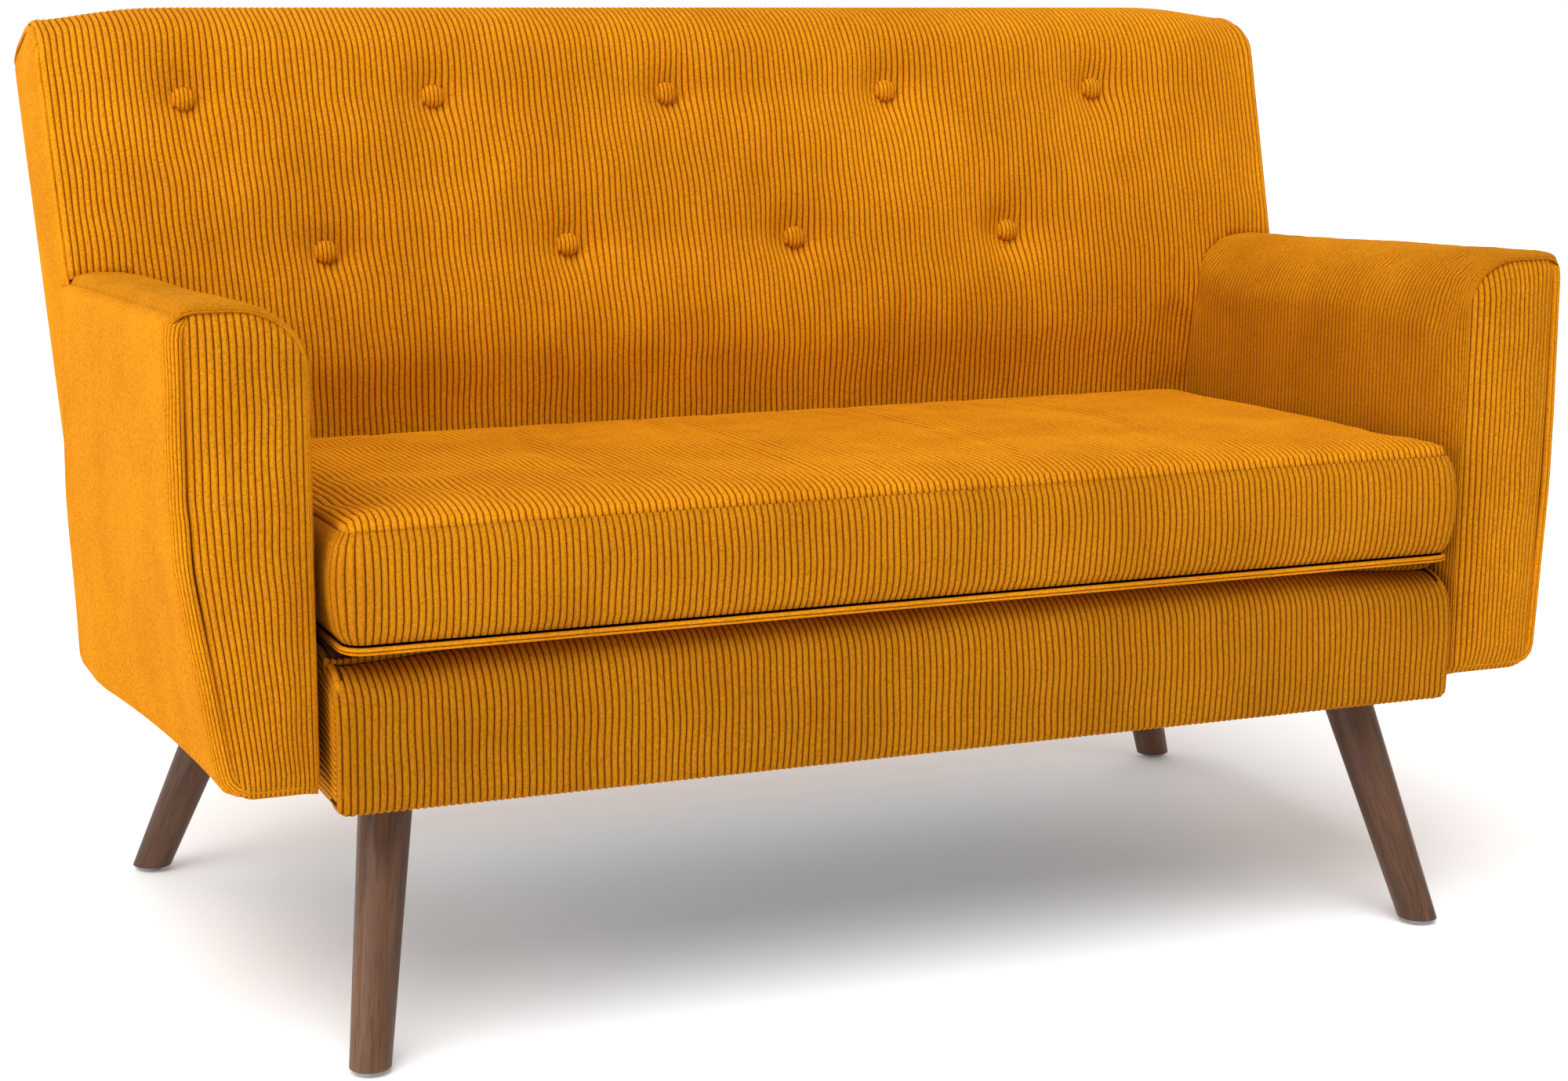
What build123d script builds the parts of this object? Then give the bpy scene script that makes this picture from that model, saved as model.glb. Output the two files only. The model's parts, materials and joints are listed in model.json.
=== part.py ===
"""A two-seat sofa with a loose bench cushion and splayed turned legs, in millimetres.

+X is to the sitter's left, -Y is the front and +Z is up. The origin is on the floor, under the middle
of the footprint. "left" and "right" are as seen by someone who stands in front of the sofa.
"""

from build123d import *
import os
from math import cos, radians, sin, sqrt, tan

# ---------------------------------------------------------------- driving dimensions
CLOTH = 3.0  # corduroy with its lining wadding
GAP = 0.5  # clearance between neighbouring soft pieces
BOARD = 3.0  # hardboard that closes the arm frames
TIMBER = 25.0  # thickness of the seat frame rails
RAIL_HEIGHT = 100.0

BASE_HALF_WIDTH = 525.0
BASE_FRONT = -358.0
BASE_REAR = 239.0
BASE_LOW = 214.0
BASE_HIGH = 343.0
BASE_PAD = 11.0  # foam in front of the front rail

ARM_INNER = 531.0
ARM_OUTER = 645.0
ARM_FRONT = -343.0
ARM_REAR = 177.0
ARM_LOW = 232.0
ARM_FRONT_HEIGHT = 634.0
ARM_REAR_HEIGHT = 608.0
ARM_INNER_ROUND = 60.0
ARM_OUTER_ROUND = 20.0

BACK_HALF_WIDTH = 651.0
BACK_LEAN = 18.0  # degrees from upright
BACK_DEPTH = 150.0  # across the slab, square to its faces
BACK_LOW = 362.0
BACK_TOP = 847.0  # along the slope, from floor level
BACK_REAR_AT_FLOOR = 118.6  # where the slab's rear plane would meet the floor
BACK_FRONT_ROUND = 60.0
BACK_REAR_ROUND = 30.0
LUMBAR_FACE = 139.5  # the upright face above the seat, along Y

BUTTON_SPACING = 240.0
BUTTON_RADIUS = 13.0
BUTTON_SHIFT = -35.0  # both rows sit this far off the middle, to the left
BUTTON_HEIGHT = 7.0
UPPER_BUTTONS = 5
LOWER_BUTTONS = 4
UPPER_BUTTON_ROW = 746.0  # along the slope
LOWER_BUTTON_ROW = 596.0
DIMPLE_RADIUS = 34.0
DIMPLE_DEPTH = 18.0

CUSHION_HALF_WIDTH = 523.0
CUSHION_FRONT = -366.0
CUSHION_REAR = 135.0
CUSHION_LOW = 344.2
CUSHION_HIGH = 452.0
CUSHION_CORNER = 20.0

LEG_TOP_RADIUS = 22.5
LEG_FOOT_RADIUS = 17.0
LEG_TOP_HEIGHT = 205.0
GLIDE_HEIGHT = 5.0
GLIDE_RADIUS = 12.5
FRONT_FOOT = (504.0, -355.0)
REAR_FOOT = (567.0, 252.0)
FRONT_SPLAY = (0.19, -0.39)  # run outward and rearward for each unit of drop
REAR_SPLAY = (0.37, 0.26)
PLATE_SIDE = 56.0
PLATE_THICK = 2.5
BOSS_RADIUS = 15.0
HANGER_RADIUS = 4.0  # M8 hanger bolt
HANGER_IN_LEG = 30.0
HANGER_ABOVE_LEG = 34.0
SCREW_RADIUS = 2.0
SCREW_LENGTH = 18.0

BOLT_RADIUS = 4.0  # M8 bolts between the sub-frames
BOLT_HEAD_RADIUS = 8.0
BOLT_HEAD = 4.0

SPRING_COUNT = 7
SPRING_PITCH = 130.0
SPRING_WIRE = 1.8  # radius
SPRING_HALF_WIDTH = 22.0
SPRING_STEP = 34.0
SPRING_BEND = 15.0

# ---------------------------------------------------------------- worked-out places
RAIL_OUTER = BASE_HALF_WIDTH - CLOTH - GAP
RAIL_INNER = RAIL_OUTER - TIMBER
RAIL_FRONT = BASE_FRONT + CLOTH + BASE_PAD
RAIL_REAR = BASE_REAR - CLOTH - GAP
RAIL_LOW = BASE_LOW + CLOTH + 1.0
RAIL_HIGH = RAIL_LOW + RAIL_HEIGHT
SPRING_HEIGHT = RAIL_HIGH + 5.0
DECK_REAR = ARM_REAR
SIDES = {"left": -1, "right": 1}
CORNERS = {
    "front_left": (-1, FRONT_FOOT, FRONT_SPLAY),
    "front_right": (1, FRONT_FOOT, FRONT_SPLAY),
    "rear_left": (-1, REAR_FOOT, REAR_SPLAY),
    "rear_right": (1, REAR_FOOT, REAR_SPLAY),
}

# Back slab coordinates: x across, y up the slope, z from the rear face towards the sitter.
LEAN_SIN = sin(radians(BACK_LEAN))
LEAN_COS = cos(radians(BACK_LEAN))
BACK_PLANE = Plane(origin=(0, BACK_REAR_AT_FLOOR, 0), x_dir=(1, 0, 0), z_dir=(0, -LEAN_COS, LEAN_SIN))


def box_between(low, high, mode=Mode.ADD):
    """A box from its lowest to its highest corner."""
    size = [b - a for a, b in zip(low, high)]
    with Locations(tuple(low)):
        Box(*size, align=(Align.MIN, Align.MIN, Align.MIN), mode=mode)


def across(side, inner, outer):
    """Lowest and highest x of a stretch that lies between two distances from the middle."""
    return (inner, outer) if side > 0 else (-outer, -inner)


def rear_face_y(height, depth=0.0):
    """Y of the slab's plane at this depth in front of its rear face, at this height."""
    return BACK_REAR_AT_FLOOR + height * tan(radians(BACK_LEAN)) - depth / LEAN_COS


def save(part, name):
    """Writes one node's solids."""
    part.label = name
    export_step(part, f"parts/{name}.step")


os.makedirs("parts", exist_ok=True)


# ---------------------------------------------------------------- seat frame
def leg_top(corner):
    """Centre of a leg's top face."""
    side, (foot_x, foot_y), (outward, rearward) = CORNERS[corner]
    return (side * (foot_x - outward * LEG_TOP_HEIGHT), foot_y - rearward * LEG_TOP_HEIGHT, LEG_TOP_HEIGHT)


def leg_plane(corner):
    """A plane square to the leg, on its top face, facing down the leg."""
    side, _, (outward, rearward) = CORNERS[corner]
    return Plane(origin=leg_top(corner), z_dir=(side * outward, rearward, -1))


def plate_centre(corner):
    """Where the leg's axis meets the underside of the frame."""
    side, (foot_x, foot_y), (outward, rearward) = CORNERS[corner]
    return (side * (foot_x - outward * RAIL_LOW), foot_y - rearward * RAIL_LOW)


def hanger_clearance(corner, radius):
    """Cuts the hanger bolt's path from the part in hand."""
    plane = leg_plane(corner).offset(HANGER_IN_LEG)
    with Locations(plane.location):
        Cylinder(
            radius,
            HANGER_IN_LEG + HANGER_ABOVE_LEG,
            align=(Align.CENTER, Align.CENTER, Align.MAX),
            mode=Mode.SUBTRACT,
        )


with BuildPart() as base_front_rail:
    box_between((-RAIL_OUTER, RAIL_FRONT, RAIL_LOW), (RAIL_OUTER, RAIL_FRONT + TIMBER, RAIL_HIGH))
save(base_front_rail.part, "base_front_rail")

with BuildPart() as base_rear_rail:
    box_between((-RAIL_OUTER, RAIL_REAR - TIMBER, RAIL_LOW), (RAIL_OUTER, RAIL_REAR, RAIL_HIGH))
save(base_rear_rail.part, "base_rear_rail")

# Bolts that hold the arms, and the back posts, to the side rails.
ARM_BOLT_HEIGHT = RAIL_LOW + 32.0
ARM_BOLTS = [(y, ARM_BOLT_HEIGHT) for y in (-200.0, -55.0, 90.0)]
POST_FRONT_DEPTH = 43.0  # the back posts lie between these depths in front of the slab's rear face
POST_REAR_DEPTH = 13.0
BACK_BOLTS = [(rear_face_y(z, (POST_FRONT_DEPTH + POST_REAR_DEPTH) / 2), z) for z in (285.0, 309.0)]


def bolt_holes(side, points, radius=BOLT_RADIUS):
    """Cuts holes along X through everything on one side of the part in hand."""
    for y, z in points:
        with Locations(Location((side * BASE_HALF_WIDTH, y, z), (0, 90, 0))):
            Cylinder(radius, BASE_HALF_WIDTH, mode=Mode.SUBTRACT)


with BuildPart() as base_side_rails:
    for side in SIDES.values():
        low_x, high_x = across(side, RAIL_INNER, RAIL_OUTER)
        box_between((low_x, RAIL_FRONT + TIMBER, RAIL_LOW), (high_x, RAIL_REAR - TIMBER, RAIL_HIGH))
        bolt_holes(side, ARM_BOLTS + BACK_BOLTS)
save(base_side_rails.part, "base_side_rails")

CENTRE_RAIL_HIGH = RAIL_HIGH - 22.0  # clear of the springs
with BuildPart() as base_centre_rail:
    half = TIMBER / 2
    box_between((-half, RAIL_FRONT + TIMBER, RAIL_LOW), (half, RAIL_REAR - TIMBER, CENTRE_RAIL_HIGH))
save(base_centre_rail.part, "base_centre_rail")

# Blocks glued into the frame's corners, which the leg plates are screwed to.
BLOCK_SIDE = 76.0
BLOCK_HEIGHT = 40.0
FRONT_BLOCK_EXTRA = 20.0  # the front blocks run further back, under the raked legs
with BuildPart() as leg_blocks:
    for corner, (side, foot, _) in CORNERS.items():
        low_x, high_x = across(side, RAIL_INNER - BLOCK_SIDE, RAIL_INNER)
        front = foot[1] < 0
        low_y = RAIL_FRONT + TIMBER if front else RAIL_REAR - TIMBER - BLOCK_SIDE
        high_y = low_y + BLOCK_SIDE + (FRONT_BLOCK_EXTRA if front else 0.0)
        box_between((low_x, low_y, RAIL_LOW), (high_x, high_y, RAIL_LOW + BLOCK_HEIGHT))
    for corner in CORNERS:
        hanger_clearance(corner, HANGER_RADIUS + 1.0)
save(leg_blocks.part, "leg_blocks")


# ---------------------------------------------------------------- legs
LEG_LENGTH = {
    corner: LEG_TOP_HEIGHT * sqrt(1 + splay[0] ** 2 + splay[1] ** 2)
    for corner, (_, _, splay) in CORNERS.items()
}
for corner in CORNERS:
    plane = leg_plane(corner)
    overrun = LEG_FOOT_RADIUS  # the cone runs past the floor before its foot is cut level
    length = LEG_LENGTH[corner] + overrun
    slope = (LEG_TOP_RADIUS - LEG_FOOT_RADIUS) / LEG_LENGTH[corner]
    with BuildPart() as leg:
        with BuildSketch(plane):
            Circle(LEG_TOP_RADIUS)
        with BuildSketch(plane.offset(length)):
            Circle(LEG_TOP_RADIUS - slope * length)
        loft()
        chamfer(leg.edges().sort_by(Axis.Z)[-1], 1.5)
        split(bisect_by=Plane.XY.offset(GLIDE_HEIGHT), keep=Keep.TOP)
        hanger_clearance(corner, HANGER_RADIUS)
    save(leg.part, f"leg_{corner}")

with BuildPart() as leg_glides:
    for side, (foot_x, foot_y), _ in CORNERS.values():
        with Locations((side * foot_x, foot_y, 0)):
            Cylinder(GLIDE_RADIUS, GLIDE_HEIGHT, align=(Align.CENTER, Align.CENTER, Align.MIN))
    chamfer(leg_glides.edges().group_by(Axis.Z)[0], 1.0)
save(leg_glides.part, "leg_glides")

with BuildPart() as leg_hanger_bolts:
    for corner in CORNERS:
        with Locations(leg_plane(corner).offset(HANGER_IN_LEG).location):
            Cylinder(
                HANGER_RADIUS,
                HANGER_IN_LEG + HANGER_ABOVE_LEG,
                align=(Align.CENTER, Align.CENTER, Align.MAX),
            )
save(leg_hanger_bolts.part, "leg_hanger_bolts")

PLATE_LOW = RAIL_LOW - PLATE_THICK
SCREW_OFFSET = PLATE_SIDE / 2 - 7.0


def screw_points(corner):
    """Where the four screws go through a leg plate."""
    centre_x, centre_y = plate_centre(corner)
    offsets = (-SCREW_OFFSET, SCREW_OFFSET)
    return [(centre_x + dx, centre_y + dy) for dx in offsets for dy in offsets]


# Each plate is flat, with a tilted boss that the leg's top face bears on.
with BuildPart() as leg_plates:
    for corner in CORNERS:
        with Locations(leg_plane(corner).location):
            Cylinder(BOSS_RADIUS, HANGER_ABOVE_LEG, align=(Align.CENTER, Align.CENTER, Align.MAX))
    above = ((-BASE_HALF_WIDTH, BASE_FRONT, RAIL_LOW), (BASE_HALF_WIDTH, BASE_REAR, RAIL_HIGH))
    box_between(*above, Mode.SUBTRACT)
    for corner in CORNERS:
        with Locations((*plate_centre(corner), PLATE_LOW)):
            Box(PLATE_SIDE, PLATE_SIDE, PLATE_THICK, align=(Align.CENTER, Align.CENTER, Align.MIN))
    for corner in CORNERS:
        hanger_clearance(corner, HANGER_RADIUS)
        with Locations(*[(x, y, PLATE_LOW) for x, y in screw_points(corner)]):
            Cylinder(SCREW_RADIUS, 3 * PLATE_THICK, mode=Mode.SUBTRACT)
save(leg_plates.part, "leg_plates")

with BuildPart() as leg_plate_screws:
    for corner in CORNERS:
        with Locations(*[(x, y, PLATE_LOW) for x, y in screw_points(corner)]):
            Cylinder(SCREW_RADIUS, SCREW_LENGTH, align=(Align.CENTER, Align.CENTER, Align.MIN))
            Cylinder(2 * SCREW_RADIUS, 1.5, align=(Align.CENTER, Align.CENTER, Align.MAX))
save(leg_plate_screws.part, "leg_plate_screws")


# ---------------------------------------------------------------- springs and deck
SPRING_START = RAIL_FRONT + TIMBER / 2
SPRING_STEPS = int((RAIL_REAR - TIMBER / 2 - SPRING_START) / SPRING_STEP)
SPRING_END = SPRING_START + SPRING_STEPS * SPRING_STEP
SPRING_XS = [(i - (SPRING_COUNT - 1) / 2) * SPRING_PITCH for i in range(SPRING_COUNT)]


def zigzag(centre_x):
    """Corner points of a flat wire spring that runs from the front rail to the rear rail."""
    points = []
    for step in range(SPRING_STEPS + 1):
        turn = SPRING_HALF_WIDTH if step % 2 else -SPRING_HALF_WIDTH
        y = SPRING_START + step * SPRING_STEP
        points += [(centre_x + turn, y, SPRING_HEIGHT), (centre_x - turn, y, SPRING_HEIGHT)]
    return points


with BuildPart() as seat_springs:
    for centre_x in SPRING_XS:
        points = zigzag(centre_x)
        with BuildLine():
            wire = FilletPolyline(*points, radius=SPRING_BEND)
        with BuildSketch(Plane(origin=points[0], z_dir=wire % 0)):
            Circle(SPRING_WIRE)
        sweep(path=wire)
save(seat_springs.part, "seat_springs")

CLIP_SIZE = (14.0, 16.0, 8.0)
with BuildPart() as spring_clips:
    for centre_x in SPRING_XS:
        for y in (SPRING_START, SPRING_END):
            with Locations((centre_x, y, RAIL_HIGH)):
                Box(*CLIP_SIZE, align=(Align.CENTER, Align.CENTER, Align.MIN))
            with Locations(Location((centre_x, y, SPRING_HEIGHT), (0, 90, 0))):
                Cylinder(SPRING_WIRE + 0.1, 2 * CLIP_SIZE[0], mode=Mode.SUBTRACT)
save(spring_clips.part, "spring_clips")

DECK_FELT_LOW = RAIL_HIGH + CLIP_SIZE[2] + GAP
DECK_CLOTH_LOW = BASE_HIGH - CLOTH / 2
with BuildPart() as deck_pad:
    box_between((-RAIL_OUTER, RAIL_FRONT, DECK_FELT_LOW), (RAIL_OUTER, DECK_REAR, DECK_CLOTH_LOW))
save(deck_pad.part, "deck_pad")

ROLL_RETURN = 24.0  # how far the front cover's top returns over the deck
with BuildPart() as deck_cloth:
    low_corner = (-RAIL_OUTER, BASE_FRONT + ROLL_RETURN + GAP, DECK_CLOTH_LOW)
    box_between(low_corner, (RAIL_OUTER, DECK_REAR, BASE_HIGH))
save(deck_cloth.part, "deck_cloth")


# ---------------------------------------------------------------- base upholstery
with BuildPart() as base_front_padding:
    high_corner = (RAIL_OUTER, RAIL_FRONT, BASE_HIGH - CLOTH - GAP)
    box_between((-RAIL_OUTER, BASE_FRONT + CLOTH, RAIL_LOW), high_corner)
save(base_front_padding.part, "base_front_padding")

# The front cover is one strip: a lip under the rail, the face, and a lip over the deck's edge.
LIP = 12.0
with BuildPart() as base_front_cover:
    high_corner = (BASE_HALF_WIDTH, BASE_FRONT + ROLL_RETURN, BASE_HIGH)
    box_between((-BASE_HALF_WIDTH, BASE_FRONT, BASE_LOW), high_corner)
    inner_low = (-BASE_HALF_WIDTH, BASE_FRONT + CLOTH, BASE_LOW + CLOTH)
    box_between(inner_low, (BASE_HALF_WIDTH, BASE_REAR, DECK_CLOTH_LOW), Mode.SUBTRACT)
    behind_lip = (-BASE_HALF_WIDTH, BASE_FRONT + LIP, BASE_LOW)
    box_between(behind_lip, (BASE_HALF_WIDTH, BASE_REAR, RAIL_LOW), Mode.SUBTRACT)
save(base_front_cover.part, "base_front_cover")

for name, side in SIDES.items():
    low_x, high_x = across(side, BASE_HALF_WIDTH - CLOTH, BASE_HALF_WIDTH)
    with BuildPart() as side_cover:
        box_between((low_x, BASE_FRONT + ROLL_RETURN, BASE_LOW), (high_x, BASE_REAR - CLOTH, BASE_HIGH))
        bolt_holes(side, ARM_BOLTS)
    save(side_cover.part, f"base_{name}_cover")

with BuildPart() as base_rear_cover:
    high_corner = (BASE_HALF_WIDTH, BASE_REAR, BACK_LOW - 2 * GAP)
    box_between((-BASE_HALF_WIDTH, BASE_REAR - CLOTH, BASE_LOW), high_corner)
save(base_rear_cover.part, "base_rear_cover")

# Black cambric under the frame, cut away round the leg plates.
with BuildPart() as dust_cover:
    margin = 2.0
    box_between(
        (-RAIL_OUTER + margin, RAIL_FRONT + margin, RAIL_LOW - 1.0),
        (RAIL_OUTER - margin, RAIL_REAR - margin, RAIL_LOW),
    )
    for corner in CORNERS:
        with Locations((*plate_centre(corner), RAIL_LOW)):
            Box(PLATE_SIDE + 2 * margin, PLATE_SIDE + 2 * margin, 4.0, mode=Mode.SUBTRACT)
    leftovers = dust_cover.solids().sort_by(SortBy.VOLUME)[:-1]
    if leftovers:
        add(leftovers, mode=Mode.SUBTRACT)
save(dust_cover.part, "dust_cover")


# ---------------------------------------------------------------- arms
def arm_body(side, inset, low, rear):
    """The arm's solid, drawn from the side with its sloping top, this far inside its outer skin."""
    low_x, high_x = across(side, ARM_INNER + inset, ARM_OUTER - inset)
    front = ARM_FRONT + inset
    with BuildPart() as body:
        with BuildSketch(Plane.YZ.offset(low_x)):
            with BuildLine():
                Polyline(
                    (front, low),
                    (rear, low),
                    (rear, ARM_REAR_HEIGHT - inset),
                    (front, ARM_FRONT_HEIGHT - inset),
                    close=True,
                )
            make_face()
        extrude(amount=high_x - low_x)
        top_edges = body.faces().sort_by(Axis.Z)[-1].edges().filter_by(GeomType.LINE)
        long_edges = top_edges.sort_by(SortBy.LENGTH)[-2:].sort_by(Axis.X)
        inner_edge, outer_edge = long_edges if side > 0 else reversed(long_edges)
        fillet(inner_edge, ARM_INNER_ROUND - inset)
        body_edges = body.edges().filter_by(lambda e: abs(e.length - outer_edge.length) < 0.01)
        outermost = body_edges.group_by(Axis.Z)[-1].sort_by(Axis.X)
        fillet(outermost[-1] if side > 0 else outermost[0], ARM_OUTER_ROUND - inset)
    return body.part


FRAME_INNER = ARM_INNER + 39.0
FRAME_OUTER = FRAME_INNER + 30.0
POST_WIDTH = 45.0
ARM_FRAME_FRONT = ARM_FRONT + 21.0
ARM_FRAME_REAR = ARM_REAR - CLOTH - GAP
ARM_FRAME_LOW = ARM_LOW + CLOTH + GAP
ARM_FRAME_HIGH = 572.0

for name, side in SIDES.items():
    frame_x = across(side, FRAME_INNER, FRAME_OUTER)
    post_fronts = (ARM_FRAME_FRONT, ARM_FRAME_REAR - POST_WIDTH)
    with BuildPart() as posts:
        for front in post_fronts:
            rear = front + POST_WIDTH
            box_between((frame_x[0], front, ARM_FRAME_LOW), (frame_x[1], rear, ARM_FRAME_HIGH))
    save(posts.part, f"arm_{name}_posts")

    rail_lows = {"top_rail": ARM_FRAME_HIGH - POST_WIDTH, "bottom_rail": ARM_FRAME_LOW}
    for member, low in rail_lows.items():
        with BuildPart() as rail:
            high_corner = (frame_x[1], post_fronts[1], low + POST_WIDTH)
            box_between((frame_x[0], post_fronts[0] + POST_WIDTH, low), high_corner)
            bolt_holes(side, ARM_BOLTS)
        save(rail.part, f"arm_{name}_{member}")

    boards = {
        "inner_board": across(side, FRAME_INNER - BOARD, FRAME_INNER),
        "outer_board": across(side, FRAME_OUTER, FRAME_OUTER + BOARD),
    }
    for board, (low_x, high_x) in boards.items():
        with BuildPart() as panel:
            high_corner = (high_x, ARM_FRAME_REAR, ARM_FRAME_HIGH)
            box_between((low_x, ARM_FRAME_FRONT, ARM_FRAME_LOW), high_corner)
            bolt_holes(side, ARM_BOLTS)
        save(panel.part, f"arm_{name}_{board}")

    cavity_x = across(side, FRAME_INNER - BOARD, FRAME_OUTER + BOARD)
    foam_body = arm_body(side, CLOTH + GAP, ARM_FRAME_LOW, ARM_FRAME_REAR)
    with BuildPart() as padding:
        add(foam_body)
        high_corner = (cavity_x[1], ARM_REAR, ARM_FRAME_HIGH)
        box_between((cavity_x[0], ARM_FRAME_FRONT, 0), high_corner, Mode.SUBTRACT)
        bolt_holes(side, ARM_BOLTS)
    save(padding.part, f"arm_{name}_padding")

    # The three cloth panels are cut from one closed skin: the outer one wraps under and behind the arm.
    outside = arm_body(side, 0, ARM_LOW, ARM_REAR)
    inside = arm_body(side, CLOTH, ARM_LOW + CLOTH, ARM_REAR - CLOTH)
    panel_front = ARM_FRONT + CLOTH
    far = 2 * ARM_OUTER
    inner_zone_x = across(side, 0, ARM_OUTER - CLOTH)
    inner_zone = (
        (inner_zone_x[0], panel_front, ARM_LOW + CLOTH),
        (inner_zone_x[1], ARM_REAR - CLOTH, far),
    )

    with BuildPart() as front_panel:
        add(outside)
        box_between((-far, panel_front, 0), (far, far, far), Mode.SUBTRACT)
    save(front_panel.part, f"arm_{name}_front_panel")

    with BuildPart() as outer_panel:
        add(outside)
        add(inside, mode=Mode.SUBTRACT)
        box_between((-far, -far, 0), (far, panel_front, far), Mode.SUBTRACT)
        box_between(*inner_zone, Mode.SUBTRACT)
    save(outer_panel.part, f"arm_{name}_outer_panel")

    with BuildPart() as inner_panel:
        add(outside)
        add(inside, mode=Mode.SUBTRACT)
        box_between(*inner_zone, Mode.INTERSECT)
        bolt_holes(side, ARM_BOLTS)
    save(inner_panel.part, f"arm_{name}_inner_panel")


def add_bolts(points, inner, outer):
    """Adds M8 bolts along X on both sides to the part in hand, each with a round head at its inner end."""
    for side in SIDES.values():
        low_x, high_x = across(side, inner, outer)
        head_x = across(side, inner - BOLT_HEAD, inner)
        for y, z in points:
            stretches = ((BOLT_RADIUS, (low_x, high_x)), (BOLT_HEAD_RADIUS, head_x))
            for radius, (start, stop) in stretches:
                with Locations(Location((start, y, z), (0, 90, 0))):
                    Cylinder(radius, stop - start, align=(Align.CENTER, Align.CENTER, Align.MIN))


# ---------------------------------------------------------------- back frame
def back_member(low, high):
    """A timber or strap in the slab's own coordinates, from its lowest to its highest corner."""
    with BuildPart() as member:
        with BuildSketch(BACK_PLANE.offset(low[2])):
            with Locations(((low[0] + high[0]) / 2, (low[1] + high[1]) / 2)):
                Rectangle(high[0] - low[0], high[1] - low[1])
        extrude(amount=high[2] - low[2])
    return member.part


POST_OUTER = RAIL_INNER - 1.0
POST_INNER = POST_OUTER - 42.0
POST_FOOT = 283.0
TOP_RAIL = (784.0, 824.0)
BOTTOM_RAIL = (414.0, 454.0)
WING_HALF_WIDTH = 620.0
WING_POST_WIDTH = 40.0
DEPTHS = (POST_REAR_DEPTH, POST_FRONT_DEPTH)

for name, side in SIDES.items():
    low_x, high_x = across(side, POST_INNER, POST_OUTER)
    with BuildPart() as post:
        add(back_member((low_x, POST_FOOT, DEPTHS[0]), (high_x, TOP_RAIL[0], DEPTHS[1])))
        bolt_holes(side, BACK_BOLTS)
    save(post.part, f"back_{name}_post")

    low_x, high_x = across(side, WING_HALF_WIDTH - WING_POST_WIDTH, WING_HALF_WIDTH)
    wing_post = back_member((low_x, BOTTOM_RAIL[0], DEPTHS[0]), (high_x, TOP_RAIL[0], DEPTHS[1]))
    low_x, high_x = across(side, POST_OUTER, WING_HALF_WIDTH - WING_POST_WIDTH)
    wing_rail = back_member((low_x, BOTTOM_RAIL[0], DEPTHS[0]), (high_x, BOTTOM_RAIL[1], DEPTHS[1]))
    with BuildPart() as wing_frame:
        add(wing_post)
        add(wing_rail)
    save(wing_frame.part, f"back_{name}_wing_frame")

top_rail = back_member((-WING_HALF_WIDTH, TOP_RAIL[0], DEPTHS[0]), (WING_HALF_WIDTH, TOP_RAIL[1], DEPTHS[1]))
save(top_rail, "back_top_rail")
bottom_rail = back_member((-POST_INNER, BOTTOM_RAIL[0], DEPTHS[0]), (POST_INNER, BOTTOM_RAIL[1], DEPTHS[1]))
save(bottom_rail, "back_bottom_rail")

STRAP_ROWS = (510.0, 670.0)
STRAP_HEIGHT = 50.0
STRAP_THICK = 2.0
with BuildPart() as back_webbing:
    for row in STRAP_ROWS:
        add(
            back_member(
                (-POST_OUTER, row - STRAP_HEIGHT / 2, DEPTHS[1]),
                (POST_OUTER, row + STRAP_HEIGHT / 2, DEPTHS[1] + STRAP_THICK),
            )
        )
save(back_webbing.part, "back_webbing")

with BuildPart() as frame_bolts:
    add_bolts(ARM_BOLTS, RAIL_INNER, FRAME_OUTER + BOARD)
    add_bolts(BACK_BOLTS, POST_INNER, RAIL_OUTER)
save(frame_bolts.part, "frame_bolts")


# ---------------------------------------------------------------- back upholstery
def slope_point(along, depth):
    """(y, z) of a point of the slab given by its distance up the slope and its depth."""
    return (
        BACK_REAR_AT_FLOOR + along * LEAN_SIN - depth * LEAN_COS,
        along * LEAN_COS + depth * LEAN_SIN,
    )


def back_body(inset, rear_inset, half_width):
    """The slab's solid from its side profile: leaning faces, a rounded top and an upright lumbar face."""
    front_depth = BACK_DEPTH - inset
    face_y = LUMBAR_FACE + inset
    tan_lean = tan(radians(BACK_LEAN))
    break_z = (face_y - BACK_REAR_AT_FLOOR + front_depth / LEAN_COS) / tan_lean
    low = BACK_LOW + inset
    with BuildPart() as body:
        with BuildSketch(Plane.YZ.offset(-half_width)):
            with BuildLine():
                Polyline(
                    (rear_face_y(low, rear_inset), low),
                    slope_point(BACK_TOP - inset, rear_inset),
                    slope_point(BACK_TOP - inset, front_depth),
                    (face_y, break_z),
                    (face_y, low),
                    close=True,
                )
            make_face()
        extrude(amount=2 * half_width)
        lengthwise = body.edges().filter_by(Axis.X)
        fillet(lengthwise.sort_by(Axis.Z)[-1], BACK_FRONT_ROUND - inset)
        if rear_inset < BACK_REAR_ROUND:
            rear_top = body.edges().filter_by(Axis.X).sort_by(Axis.Y)[-1]
            fillet(rear_top, BACK_REAR_ROUND - rear_inset)
    return body.part


NOTCH_INNER = ARM_INNER - 2.0
NOTCH_HIGH = ARM_REAR_HEIGHT + 4.0


def cut_arm_notches():
    """Clears the space that the arms take, below the wings of the back."""
    for side in SIDES.values():
        low_x, high_x = across(side, NOTCH_INNER, 2 * BACK_HALF_WIDTH)
        box_between((low_x, -BACK_HALF_WIDTH, 0), (high_x, ARM_REAR + GAP, NOTCH_HIGH), Mode.SUBTRACT)


def button_places(row, count):
    """(x, distance up the slope) of a row of buttons."""
    first = BUTTON_SHIFT - (count - 1) / 2 * BUTTON_SPACING
    return [(first + i * BUTTON_SPACING, row) for i in range(count)]


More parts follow.
